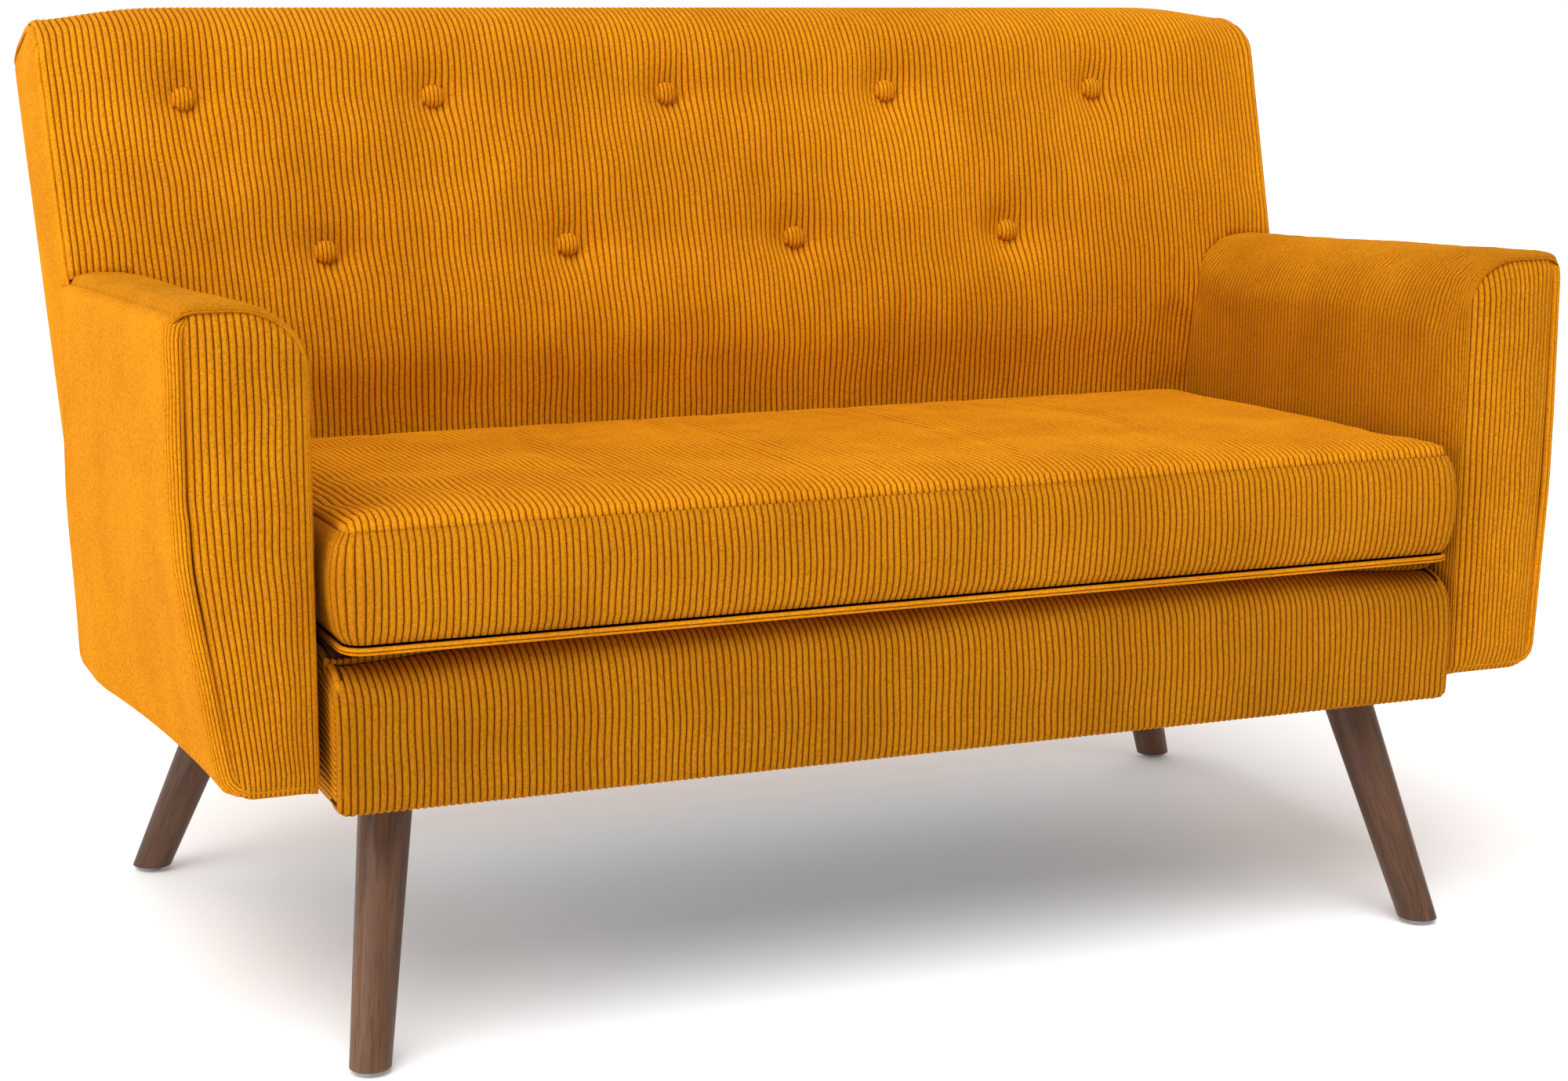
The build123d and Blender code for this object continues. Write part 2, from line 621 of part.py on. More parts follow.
BUTTONS = [
    *button_places(UPPER_BUTTON_ROW, UPPER_BUTTONS),
    *button_places(LOWER_BUTTON_ROW, LOWER_BUTTONS),
]
DIMPLE_FLOOR = BACK_DEPTH - DIMPLE_DEPTH
TIE_RADIUS = 0.8
TOGGLE_RADIUS = 8.0
FOAM_REAR = POST_FRONT_DEPTH + STRAP_THICK + GAP


def at_buttons(depth):
    """Locations on the slab at every button, at this depth from its rear face, facing the sitter."""
    return [BACK_PLANE.offset(depth).location * Location((x, along, 0)) for x, along in BUTTONS]


def dimples(grow, mode):
    """Cones that sink from the slab's face to the buttons."""
    with Locations(*at_buttons(DIMPLE_FLOOR - grow)):
        Cone(
            BUTTON_RADIUS + 2 * GAP + grow,
            DIMPLE_RADIUS + grow,
            DIMPLE_DEPTH + grow,
            align=(Align.CENTER, Align.CENTER, Align.MIN),
            mode=mode,
        )


def tie_holes():
    """Cuts the ties' paths behind the buttons from the part in hand."""
    with Locations(*at_buttons(POST_FRONT_DEPTH)):
        Cylinder(
            TIE_RADIUS + 0.4,
            DIMPLE_FLOOR - POST_FRONT_DEPTH,
            align=(Align.CENTER, Align.CENTER, Align.MIN),
            mode=Mode.SUBTRACT,
        )


foam_slab = back_body(CLOTH + GAP, FOAM_REAR, BACK_HALF_WIDTH - CLOTH - GAP)
with BuildPart() as back_padding:
    add(foam_slab)
    cut_arm_notches()
    dimples(CLOTH + GAP, Mode.SUBTRACT)
    tie_holes()
    box_between((-BACK_HALF_WIDTH, BASE_FRONT, 0), (BACK_HALF_WIDTH, BASE_REAR, BASE_HIGH), Mode.SUBTRACT)
save(back_padding.part, "back_padding")

skin_outside = back_body(0, 0, BACK_HALF_WIDTH)
skin_inside = back_body(CLOTH, CLOTH, BACK_HALF_WIDTH)
REAR_SLAB = 2 * BACK_TOP  # larger than the slab, for the half-space cuts

with BuildPart() as rear_half:
    with BuildSketch(BACK_PLANE):
        Rectangle(REAR_SLAB, REAR_SLAB, align=(Align.CENTER, Align.CENTER))
    extrude(amount=CLOTH, both=True)

with BuildPart() as rear_sheet:
    add(skin_outside)
    add(rear_half.part, mode=Mode.INTERSECT)
    inner_x = BACK_HALF_WIDTH - CLOTH
    box_between((-inner_x, -BACK_TOP, 0), (inner_x, BACK_TOP, BACK_TOP), Mode.INTERSECT)

# The front panel rolls over the top of the slab and ends at the rear panel.
with BuildPart() as back_front_panel:
    add(skin_outside)
    add(skin_inside, mode=Mode.SUBTRACT)
    add(rear_half.part, mode=Mode.SUBTRACT)
    inner_x = BACK_HALF_WIDTH - CLOTH
    high_corner = (inner_x, BACK_TOP, BACK_TOP + BACK_DEPTH)
    box_between((-inner_x, -BACK_TOP, BACK_LOW + CLOTH), high_corner, Mode.INTERSECT)
    dimples(CLOTH, Mode.ADD)
    dimples(0, Mode.SUBTRACT)
    cut_arm_notches()
    tie_holes()
save(back_front_panel.part, "back_front_panel")

# The rear panel also turns under the two stretches of slab that stand behind the arms.
with BuildPart() as back_rear_panel:
    add(skin_outside)
    add(skin_inside, mode=Mode.SUBTRACT)
    inner_x = BACK_HALF_WIDTH - CLOTH
    box_between((-inner_x, -BACK_TOP, 0), (inner_x, BACK_TOP, BACK_LOW + CLOTH), Mode.INTERSECT)
    box_between((-BASE_HALF_WIDTH, -BACK_TOP, 0), (BASE_HALF_WIDTH, BACK_TOP, BACK_TOP), Mode.SUBTRACT)
    cut_arm_notches()
    add(rear_sheet.part)
save(back_rear_panel.part, "back_rear_panel")

for name, side in SIDES.items():
    low_x, high_x = across(side, BACK_HALF_WIDTH - CLOTH, BACK_HALF_WIDTH)
    with BuildPart() as boxing:
        add(skin_outside)
        box_between((low_x, -BACK_TOP, 0), (high_x, BACK_TOP, BACK_TOP), Mode.INTERSECT)
        cut_arm_notches()
    save(boxing.part, f"back_{name}_side_panel")

with BuildPart() as back_buttons:
    with Locations(*at_buttons(DIMPLE_FLOOR)):
        Cylinder(BUTTON_RADIUS, BUTTON_HEIGHT, align=(Align.CENTER, Align.CENTER, Align.MIN))
    for button in back_buttons.solids():
        rim = button.edges().filter_by(GeomType.CIRCLE).sort_by(Axis.Z)[-1]
        fillet(rim, BUTTON_HEIGHT / 2)
save(back_buttons.part, "back_buttons")

with BuildPart() as button_ties:
    with Locations(*at_buttons(POST_FRONT_DEPTH)):
        Cylinder(
            TIE_RADIUS, DIMPLE_FLOOR - POST_FRONT_DEPTH, align=(Align.CENTER, Align.CENTER, Align.MIN)
        )
    with Locations(*at_buttons(POST_FRONT_DEPTH)):
        Cylinder(TOGGLE_RADIUS, STRAP_THICK, align=(Align.CENTER, Align.CENTER, Align.MIN))
save(button_ties.part, "button_ties")


# ---------------------------------------------------------------- seat cushion
def cushion_slab(inset, low, high):
    """A slab of the cushion's outline with rounded upright corners."""
    with BuildPart() as slab:
        box_between(
            (-CUSHION_HALF_WIDTH + inset, CUSHION_FRONT + inset, low),
            (CUSHION_HALF_WIDTH - inset, CUSHION_REAR - inset, high),
        )
        fillet(slab.edges().filter_by(Axis.Z), CUSHION_CORNER - inset)
    return slab.part


FOAM_LOW = CUSHION_LOW + CLOTH
FOAM_HIGH = CUSHION_HIGH - CLOTH
save(cushion_slab(CLOTH, FOAM_LOW, FOAM_HIGH), "seat_cushion_foam")
save(cushion_slab(0, FOAM_HIGH, CUSHION_HIGH), "seat_cushion_top_panel")
save(cushion_slab(0, CUSHION_LOW, FOAM_LOW), "seat_cushion_bottom_panel")

boxing_outside = cushion_slab(0, FOAM_LOW, FOAM_HIGH)
boxing_inside = cushion_slab(CLOTH, FOAM_LOW, FOAM_HIGH)
with BuildPart() as seat_cushion_boxing:
    add(boxing_outside)
    add(boxing_inside, mode=Mode.SUBTRACT)
save(seat_cushion_boxing.part, "seat_cushion_boxing")
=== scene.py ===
"""The looks of a two-seat corduroy sofa with walnut legs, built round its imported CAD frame. Metres, Z up.

Every cloth panel starts as a coarse grid of points that follows the CAD part. The grid may be settled by
a cloth simulation, and `cloth_shell` then weaves it: it lays wales (the ribs of the corduroy) along the
grid as real geometry, tucks its edges in at the seams and closes it at the back.
"""

import json
from math import cos, pi, radians, sin, tan

import bpy
import numpy as np
from mathutils import Matrix, Vector


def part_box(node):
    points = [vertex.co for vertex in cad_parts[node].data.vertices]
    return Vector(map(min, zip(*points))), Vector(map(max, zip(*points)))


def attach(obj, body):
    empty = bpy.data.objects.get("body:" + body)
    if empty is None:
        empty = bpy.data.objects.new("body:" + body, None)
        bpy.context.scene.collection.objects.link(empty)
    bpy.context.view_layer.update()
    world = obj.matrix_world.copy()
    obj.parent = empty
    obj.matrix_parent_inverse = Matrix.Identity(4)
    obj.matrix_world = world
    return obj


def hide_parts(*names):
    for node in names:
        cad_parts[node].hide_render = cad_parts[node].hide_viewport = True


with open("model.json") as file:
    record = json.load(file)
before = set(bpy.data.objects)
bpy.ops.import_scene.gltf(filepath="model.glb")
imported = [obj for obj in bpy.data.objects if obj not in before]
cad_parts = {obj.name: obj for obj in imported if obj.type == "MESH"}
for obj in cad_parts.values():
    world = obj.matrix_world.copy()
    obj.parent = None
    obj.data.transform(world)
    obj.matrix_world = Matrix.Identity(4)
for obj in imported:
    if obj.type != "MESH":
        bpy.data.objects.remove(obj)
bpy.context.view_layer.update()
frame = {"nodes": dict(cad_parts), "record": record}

# ---------------------------------------------------------------- places, from the frame
SIDES = {"left": -1, "right": 1}
CLOTH = 0.003
STEP = 0.010  # spacing of the coarse grids

BASE_LOW, BASE_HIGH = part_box("base_front_cover")
ARM_LOW, ARM_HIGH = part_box("arm_right_outer_panel")
ARM_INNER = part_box("arm_right_inner_panel")[0].x
ARM_OUTER = ARM_HIGH.x
ARM_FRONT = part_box("arm_right_front_panel")[0].y
ARM_REAR = ARM_HIGH.y
ARM_FALL = 0.026  # how much lower the arm's top is at the rear than at the front
BACK_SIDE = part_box("back_right_side_panel")[1].x
BACK_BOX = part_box("back_front_panel")
BACK_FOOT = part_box("back_rear_panel")[0].z
LUMBAR_FACE = BACK_BOX[0].y
CUSHION_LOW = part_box("seat_cushion_bottom_panel")[0]
CUSHION_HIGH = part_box("seat_cushion_top_panel")[1]

BACK_LEAN = radians(18)
BACK_DEPTH = 0.150
BACK_TOP = 0.847  # along the slope, from floor level
BACK_REAR_AT_FLOOR = 0.1186
BACK_FRONT_ROUND = 0.060
BACK_REAR_ROUND = 0.030
BACK_TAPER = 0.040  # the back's sides draw in by this much for each metre of drop
TAPER_START = 0.05  # the drop is counted from this far below the back's top
ARM_OVERLAP = 0.008  # the back's cloth runs on this far into the arms

BUTTON_SPACING = 0.240
BUTTON_RADIUS = 0.013
BUTTON_SHIFT = -0.035  # both rows sit this far off the middle
BUTTON_ROWS = ((0.746, 5), (0.596, 4))  # distance up the slope, and how many
BUTTON_SINK = 0.014

# ---------------------------------------------------------------- corduroy
WALE = 0.0059
WALE_PHASES = np.array([0.0, 0.11, 0.34, 0.66, 0.89])
WALE_HEIGHTS = np.array([-1.0, -0.30, 0.0, 0.0, -0.30])  # in wale depths
WALE_DEPTH = 0.0020
ROW = 0.009  # spacing of the rows along a wale
TUCK = 0.0045  # how far a panel's edge turns in at a seam
TUCK_WIDTH = 0.007
CREASE_WIDTH = 0.0028
SWAY = 0.0007  # how far the wales wander sideways
SWAY_REACH = 0.11
WALE_END = 0.012  # the wales flatten over this length before a seam that crosses them
WRAP_BEFORE, WRAP_AFTER = 2, 3  # a closed grid is repeated by this many lines at its ends, for the spline
NAP_AND_PAINTED_SHADE = {  # how light each panel looks: partly as its pile lies its own way, partly painted shade that darkens the front and inner panels; the others count as 1
    "arm_inner": 0.82,
    "arm_front": 0.86,
    "arm_rear": 0.92,
    "base_front": 0.66,
    "base_side": 0.85,
    "cushion_boxing": 0.78,
}


# ---------------------------------------------------------------- lines and grids
def smooth(x):
    x = np.clip(x, 0, 1)
    return x * x * (3 - 2 * x)


def evenly(points, step=STEP, count=None):
    """The same line with evenly spaced points."""
    points = np.asarray(points, float)
    lengths = np.r_[0, np.cumsum(np.linalg.norm(np.diff(points, axis=0), axis=1))]
    count = count or int(round(lengths[-1] / step)) + 1
    places = np.linspace(0, lengths[-1], count)
    return np.stack([np.interp(places, lengths, column) for column in points.T], 1)


def rounded_line(corners, radii):
    """A line through its corners, each of the inner ones rounded to its radius."""
    corners = [np.array(c, float) for c in corners]
    points = [corners[0]]
    for before, corner, after, radius in zip(corners, corners[1:], corners[2:], radii):
        back = (before - corner) / np.linalg.norm(before - corner)
        ahead = (after - corner) / np.linalg.norm(after - corner)
        half = np.arccos(np.clip(back @ ahead, -1, 1)) / 2
        middle = (back + ahead) / np.linalg.norm(back + ahead)
        centre = corner + middle * radius / sin(half)
        start = corner + back * radius / tan(half) - centre
        end = corner + ahead * radius / tan(half) - centre
        turn = pi - 2 * half
        for share in np.linspace(0, 1, 13):
            points.append(centre + (sin((1 - share) * turn) * start + sin(share * turn) * end) / sin(turn))
    points.append(corners[-1])
    return np.array(points)


def round_off(distance, radius):
    """How far a rounded edge falls back, at this distance from it."""
    inside = np.clip(radius - distance, 0, radius)
    return radius - np.sqrt(radius**2 - inside**2)


def spline_weights(count, places):
    """Catmull-Rom weights that carry `count` samples to these places between them."""
    base = np.clip(np.floor(places).astype(int), 0, count - 2)
    f = places - base
    weights = np.zeros((len(places), count))
    rows = np.arange(len(places))
    terms = (
        -0.5 * f + f**2 - 0.5 * f**3,
        1 - 2.5 * f**2 + 1.5 * f**3,
        0.5 * f + 2 * f**2 - 1.5 * f**3,
        -0.5 * f**2 + 0.5 * f**3,
    )
    for offset, term in enumerate(terms):
        np.add.at(weights, (rows, np.clip(base + offset - 1, 0, count - 1)), term)
    return weights


def span(grid, axis):
    """Mean length of the grid's lines along one axis."""
    return np.linalg.norm(np.diff(grid, axis=axis), axis=2).sum(axis).mean()


def normals(grid, closed=False):
    """Unit normals of a grid of points."""
    if closed:
        wrapped = np.concatenate([grid[-1:], grid, grid[:1]])
        across = (wrapped[2:] - wrapped[:-2]) / 2
    else:
        across = np.gradient(grid, axis=0)
    found = np.cross(across, np.gradient(grid, axis=1))
    return found / np.maximum(np.linalg.norm(found, axis=2, keepdims=True), 1e-12)


def facing_out(grid, core, closed=False):
    """The grid, turned so that its normals point away from the core of its body."""
    if (normals(grid, closed) * (grid - np.array(core))).sum() < 0:
        return grid[::-1]
    return grid


def wander(u, v, reach, seed):
    """A smooth wave field of about unit size, with features about `reach` long."""
    field = 0
    phases = np.random.default_rng(seed).uniform(0, 2 * pi, 4)
    for turn, phase in zip((0.3, 1.4, 2.2, 3.0), phases):
        field = field + np.sin((u * cos(turn) + v * sin(turn)) * 2 * pi / reach * (1 + 0.37 * turn) + phase)
    return field / 2


# ---------------------------------------------------------------- meshes
def scene_object(name, data):
    """A new object in the scene."""
    made = bpy.data.objects.new(name, data)
    bpy.context.scene.collection.objects.link(made)
    return made


def mesh_object(name, points, faces, attributes=None):
    """A smooth-shaded mesh object. Points that no face uses are dropped."""
    sizes = np.array([len(f) for f in faces])
    loops = np.concatenate([np.asarray(f) for f in faces])
    used, loops = np.unique(loops, return_inverse=True)
    mesh = bpy.data.meshes.new(name)
    mesh.vertices.add(len(used))
    mesh.vertices.foreach_set("co", np.asarray(points, np.float32)[used].ravel())
    mesh.loops.add(len(loops))
    mesh.loops.foreach_set("vertex_index", loops.astype(np.int32))
    mesh.polygons.add(len(sizes))
    mesh.polygons.foreach_set("loop_start", np.r_[0, np.cumsum(sizes)[:-1]].astype(np.int32))
    mesh.update(calc_edges=True)
    mesh.polygons.foreach_set("use_smooth", np.ones(len(sizes), bool))
    for label, values in (attributes or {}).items():
        values = np.asarray(values, np.float32)[used]
        vector = values.ndim == 2
        layer = mesh.attributes.new(label, "FLOAT_VECTOR" if vector else "FLOAT", "POINT")
        layer.data.foreach_set("vector" if vector else "value", values.ravel())
    return scene_object(name, mesh)


def shell_faces(ribs, per_rib, rows, keep, closed):
    """Faces of a grid, its coarser inner side and the walls between them, all facing outward."""
    columns = ribs * per_rib if closed else ribs * per_rib + 1
    inner_start = columns * rows
    inner_columns = ribs if closed else ribs + 1

    def outer(i, j):
        return (i % columns) * rows + j

    def inner(k, j):
        return inner_start + (k % inner_columns) * rows + j

    k, j = np.nonzero(keep)
    fine = (k[:, None] * per_rib + np.arange(per_rib)).ravel()
    fine_j = np.repeat(j, per_rib)
    first, second = outer(fine, fine_j), outer(fine + 1, fine_j)
    faces = list(np.stack((first, second, second + 1, first + 1), 1))
    faces += list(np.stack((inner(k, j), inner(k, j + 1), inner(k + 1, j + 1), inner(k + 1, j)), 1))

    padded = np.pad(keep, 1)
    if closed:
        padded[0, 1:-1] = keep[-1]
        padded[-1, 1:-1] = keep[0]
    for k, j in zip(*np.nonzero(keep)):
        i = k * per_rib
        run = list(range(i, i + per_rib + 1))
        if not padded[k, j + 1]:
            faces.append((outer(i, j), outer(i, j + 1), inner(k, j + 1), inner(k, j)))
        if not padded[k + 2, j + 1]:
            last = i + per_rib
            faces.append((outer(last, j + 1), outer(last, j), inner(k + 1, j), inner(k + 1, j + 1)))
        if not padded[k + 1, j]:
            faces.append([outer(x, j) for x in reversed(run)] + [inner(k, j), inner(k + 1, j)])
        if not padded[k + 1, j + 2]:
            faces.append([outer(x, j + 1) for x in run] + [inner(k + 1, j + 1), inner(k, j + 1)])
    return faces


def cloth_shell(name, grid, core, closed=False, inside=None, row=ROW, wale=WALE, depth=WALE_DEPTH,
                tuck=TUCK, creases=(), nap=1.0, seed=1):
    """A closed cloth panel over a coarse grid: wales run along the grid's second axis.

    `inside` gives, from the shares across and along the grid, how far a place is inside the cloth's cut.
    A crease is a (place along, depth) pair, where the cloth is sewn down right across the wales. `nap` is
    the panel's tone from the table of panel tones: partly its nap and partly painted shade.
    """
    grid = facing_out(grid, core, closed)
    if closed:
        width = span(np.concatenate([grid, grid[:1]]), 0)
        grid = np.concatenate([grid[-WRAP_BEFORE:], grid, grid[:WRAP_AFTER]])
    else:
        width = span(grid, 0)
    length = span(grid, 1)
    ribs = max(2, int(round(width / wale)))
    rows = max(3, int(round(length / row)) + 1)
    per_rib = len(WALE_PHASES)
    share = (np.arange(ribs)[:, None] + WALE_PHASES).ravel() / ribs
    if not closed:
        share = np.r_[share, 1.0]
    if closed:
        places = share * (len(grid) - WRAP_BEFORE - WRAP_AFTER) + WRAP_BEFORE
    else:
        places = share * (len(grid) - 1)
    along = np.linspace(0, 1, rows)
    fine = np.tensordot(spline_weights(len(grid), places), grid, (1, 0))
    fine = np.einsum("ajc,bj->abc", fine, spline_weights(grid.shape[1], along * (grid.shape[1] - 1)))
    normal = normals(fine, closed)

    u = np.broadcast_to(share[:, None] * width, fine.shape[:2])
    v = np.broadcast_to(along[None, :] * length, fine.shape[:2])
    end = np.minimum(v, length - v)
    edge = end if closed else np.minimum(end, np.minimum(u, width - u))
    if inside is not None:
        cut = inside(*np.broadcast_arrays(share[:, None], along[None, :]))
        edge, end = np.minimum(edge, np.maximum(cut, 0)), np.minimum(end, np.maximum(cut, 0))
    heights = np.resize(WALE_HEIGHTS, len(share))[:, None]
    strength = 0.9 + 0.1 * wander(u, v, 0.05, seed)
    strength = strength * (0.45 + 0.55 * smooth(end / WALE_END))
    push = depth * heights * strength - tuck * (1 - np.clip(edge / TUCK_WIDTH, 0, 1)) ** 2
    for place, sunk in creases:
        push = push - sunk * np.exp(-(((v - place) / CREASE_WIDTH) ** 2))
    tangent = np.gradient(fine, axis=0)
    tangent = tangent / np.maximum(np.linalg.norm(tangent, axis=2, keepdims=True), 1e-9)
    sway = SWAY * wander(u, v, SWAY_REACH, seed + 1) * smooth(edge / 0.03)
    if depth == 0:
        sway = sway * 0
    outer = fine + normal * push[..., None] + tangent * sway[..., None]
    thickness = depth + CLOTH * 0.6 + tuck * (1 - smooth(edge / TUCK_WIDTH))
    inner = (fine - normal * thickness[..., None])[::per_rib]

    keep = np.ones((ribs, rows - 1), bool)
    if inside is not None:
        middle_u = (np.arange(ribs)[:, None] + 0.5) / ribs
        middle_v = (along[1:] + along[:-1])[None, :] / 2
        keep = inside(*np.broadcast_arrays(middle_u, middle_v)) > 0
    crest = np.resize(1 + WALE_HEIGHTS, len(share))[:, None] * np.ones_like(u)
    points = np.concatenate([outer.reshape(-1, 3), inner.reshape(-1, 3)])
    attributes = {
        "rib": np.concatenate([crest.ravel(), np.zeros(inner.shape[0] * inner.shape[1])]),
        # the panel's tone: partly its nap, partly painted shade
        "nap": np.full(len(points), nap),
    }
    return mesh_object(name, points, shell_faces(ribs, per_rib, rows, keep, closed), attributes)


def settle(grid, pinned, core, pressure, cap, growth, frames=14):
    """Blender's cloth simulation, run on a coarse grid whose pinned points stay where they are.

    The cloth is cut larger than the space it covers, by the share `growth`, and is pressed outward from
    inside. No point ends up further than `cap` from where it started.
    """
    outward = 1 if (normals(grid) * (grid - np.array(core))).sum() > 0 else -1
    across, along = grid.shape[:2]
    index = np.arange(across * along).reshape(across, along)
    faces = np.stack([index[:-1, :-1], index[1:, :-1], index[1:, 1:], index[:-1, 1:]], 2).reshape(-1, 4)
    cloth = mesh_object("settling", grid.reshape(-1, 3), faces)
    group = cloth.vertex_groups.new(name="pinned")
    group.add([int(i) for i in index[pinned]], 1.0, "REPLACE")
    modifier = cloth.modifiers.new("cloth", "CLOTH")
    settings = modifier.settings
    settings.quality = 6
    settings.mass = 0.35
    settings.tension_stiffness = settings.compression_stiffness = 25
    settings.shear_stiffness = 12
    settings.bending_stiffness = 1.2
    settings.air_damping = 4
    settings.vertex_group_mass = "pinned"
    settings.shrink_min = -growth
    settings.use_pressure = True
    settings.uniform_pressure_force = pressure * outward
    settings.effector_weights.gravity = 0
    modifier.collision_settings.use_collision = False
    modifier.point_cache.frame_end = frames
    scene = bpy.context.scene
    for step in range(1, frames + 1):
        scene.frame_set(step)
    evaluated = cloth.evaluated_get(bpy.context.evaluated_depsgraph_get())
    found = np.zeros(across * along * 3, np.float32)
    evaluated.data.vertices.foreach_get("co", found)
    scene.frame_set(1)
    bpy.data.objects.remove(cloth)
    move = found.reshape(grid.shape) - grid
    length = np.linalg.norm(move, axis=2, keepdims=True)
    return grid + move * np.minimum(1, cap / np.maximum(length, 1e-9))


# ---------------------------------------------------------------- materials
def new_material(name):
    """A node material and its parts: (material, add node, link, Principled shader)."""
    material = bpy.data.materials.new(name)
    material.use_nodes = True
    tree = material.node_tree

    def add(kind, **values):
        node = tree.nodes.new("ShaderNode" + kind)
        for key, value in values.items():
            if key in node.inputs:
                node.inputs[key].default_value = value
            else:
                setattr(node, key, value)
        return node

    return material, add, tree.links.new, tree.nodes["Principled BSDF"]


def ramp(add, link, factor, *stops):
    """The colour that a factor picks from (place, colour) stops."""
    node = add("ValToRGB")
    elements = node.color_ramp.elements
    while len(elements) < len(stops):
        elements.new(0.5)
    for element, (place, colour) in zip(elements, stops):
        element.position = place
        element.color = (*colour, 1)
    link(factor, node.inputs["Fac"])
    return node.outputs["Color"]


def noise(add, link, place, **values):
    """The level of a noise texture at this place."""
    node = add("TexNoise", **values)
    link(place, node.inputs["Vector"])
    return node.outputs["Fac"]


def multiplied(add, link, factor, first, second):
    """The product of two colours, as far as the factor says."""
    node = add("Mix", data_type="RGBA", blend_type="MULTIPLY")
    node.inputs[0].default_value = factor
    link(first, node.inputs[6])
    link(second, node.inputs[7])
    return node.outputs[2]


def vary_roughness(add, link, shader, factor, start, end):
    """Roughness that follows a factor from the start value to the end value."""
    node = add("MapRange")
    node.inputs["To Min"].default_value = start
    node.inputs["To Max"].default_value = end
    link(factor, node.inputs["Value"])
    link(node.outputs["Result"], shader.inputs["Roughness"])


def add_relief(add, link, shader, height, strength, distance):
    """Fine relief that follows a height."""
    node = add("Bump", Strength=strength, Distance=distance)
    link(height, node.inputs["Height"])
    link(node.outputs["Normal"], shader.inputs["Normal"])


def set_shader(shader, **values):
    for key, value in values.items():
        shader.inputs[key.replace("_", " ")].default_value = value


WHITE = (1.0, 1.0, 1.0)


def corduroy_material():
    """Cut pile on the wales; grooves darker, partly their bare backing and partly painted shade; a nap that
    catches the light unevenly; panel tones partly nap, partly painted shade.
    """
    material, add, link, shader = new_material("corduroy")
    rib = add("Attribute", attribute_name="rib").outputs["Fac"]
    place = add("TexCoord").outputs["Object"]
    # The colour darkens into the grooves: partly the bare backing there, partly painted shade in the
    # hollows.
    groove_backing_and_shade = (0.0, (0.075, 0.013, 0.000))
    flank_with_shade = (0.40, (0.310, 0.086, 0.000))
    shoulder = (0.78, (0.665, 0.236, 0.004))
    crest = (1.0, (0.740, 0.280, 0.007))
    wale_tone_and_groove_shade = ramp(add, link, rib, groove_backing_and_shade, flank_with_shade, shoulder, crest)
    nap = noise(add, link, place, Scale=9.0, Detail=3.0, Roughness=0.55)
    nap_tone = ramp(add, link, nap, (0.35, (0.86, 0.82, 0.78)), (0.65, WHITE))
    # Fine speckle of the pile: a random tone, with whiter tips as painted glints and darker gaps between
    # fibres as painted shade.
    pile = noise(add, link, place, Scale=480.0, Detail=4.0, Roughness=0.75)
    between, glinting_tip = (0.34, (0.62, 0.54, 0.40)), (0.70, (1.16, 1.24, 1.8))
    pile_speckle_glint_and_shade = ramp(add, link, pile, between, (0.52, WHITE), glinting_tip)
    colour = multiplied(add, link, 1.0, wale_tone_and_groove_shade, nap_tone)
    colour = multiplied(add, link, 0.85, colour, pile_speckle_glint_and_shade)
    # Each panel's tone: partly its nap, partly painted shade that darkens the front and inner panels.
    panel_tone_with_shade = add("Attribute", attribute_name="nap").outputs["Fac"]
    colour = multiplied(add, link, 1.0, colour, panel_tone_with_shade)
    link(colour, shader.inputs["Base Color"])
    vary_roughness(add, link, shader, nap, 0.98, 0.80)
    add_relief(add, link, shader, pile, 0.55, 0.0007)
    set_shader(shader, Sheen_Weight=0.07, Sheen_Roughness=0.45, Sheen_Tint=(1.0, 0.50, 0.10, 1.0))
    set_shader(shader, Specular_IOR_Level=0.04)
    return material


def walnut_material(name, axis):
    """Stained, satin-lacquered walnut whose grain runs along this axis."""
    material, add, link, shader = new_material(name)
    place = add("TexCoord").outputs["Object"]
    turn = Vector(axis).rotation_difference(Vector((0, 0, 1))).to_euler()
    upright = add("Mapping", Rotation=turn)
    link(place, upright.inputs["Vector"])
    drawn_out = add("Mapping", Scale=(34.0, 34.0, 4.0))
    link(upright.outputs["Vector"], drawn_out.inputs["Vector"])
    grain = drawn_out.outputs["Vector"]
    figure = noise(add, link, grain, Scale=1.0, Detail=6.0, Roughness=0.62, Distortion=0.9)
    browns = ((0.30, (0.050, 0.021, 0.010)), (0.50, (0.104, 0.045, 0.020)), (0.72, (0.155, 0.073, 0.034)))
    tone = ramp(add, link, figure, *browns)
    pores_place = add("Mapping", Scale=(900.0, 900.0, 26.0))
    link(upright.outputs["Vector"], pores_place.inputs["Vector"])
    pores = noise(add, link, pores_place.outputs["Vector"], Scale=1.0, Detail=2.0, Roughness=0.5)
    pore_tone = ramp(add, link, pores, (0.36, (0.45, 0.42, 0.40)), (0.46, WHITE))
    link(multiplied(add, link, 0.7, tone, pore_tone), shader.inputs["Base Color"])
    vary_roughness(add, link, shader, figure, 0.56, 0.42)
    add_relief(add, link, shader, pores, 0.18, 0.0004)
    set_shader(shader, Coat_Weight=0.10, Coat_Roughness=0.35, Specular_IOR_Level=0.3)
    return material


def plain_material(name, dark, light, scale, roughness, bump, stretch, metallic):
    """Two tones broken up by noise, which may be drawn out along an axis, with matching roughness."""
    material, add, link, shader = new_material(name)
    place = add("Mapping", Scale=stretch)
    link(add("TexCoord").outputs["Object"], place.inputs["Vector"])
    level = noise(add, link, place.outputs["Vector"], Scale=scale, Detail=5.0, Roughness=0.6)
    link(ramp(add, link, level, (0.32, dark), (0.68, light)), shader.inputs["Base Color"])
    vary_roughness(add, link, shader, level, roughness * 1.12, roughness * 0.88)
    add_relief(add, link, shader, level, bump, 0.0006)
    set_shader(shader, Metallic=metallic)
    return material


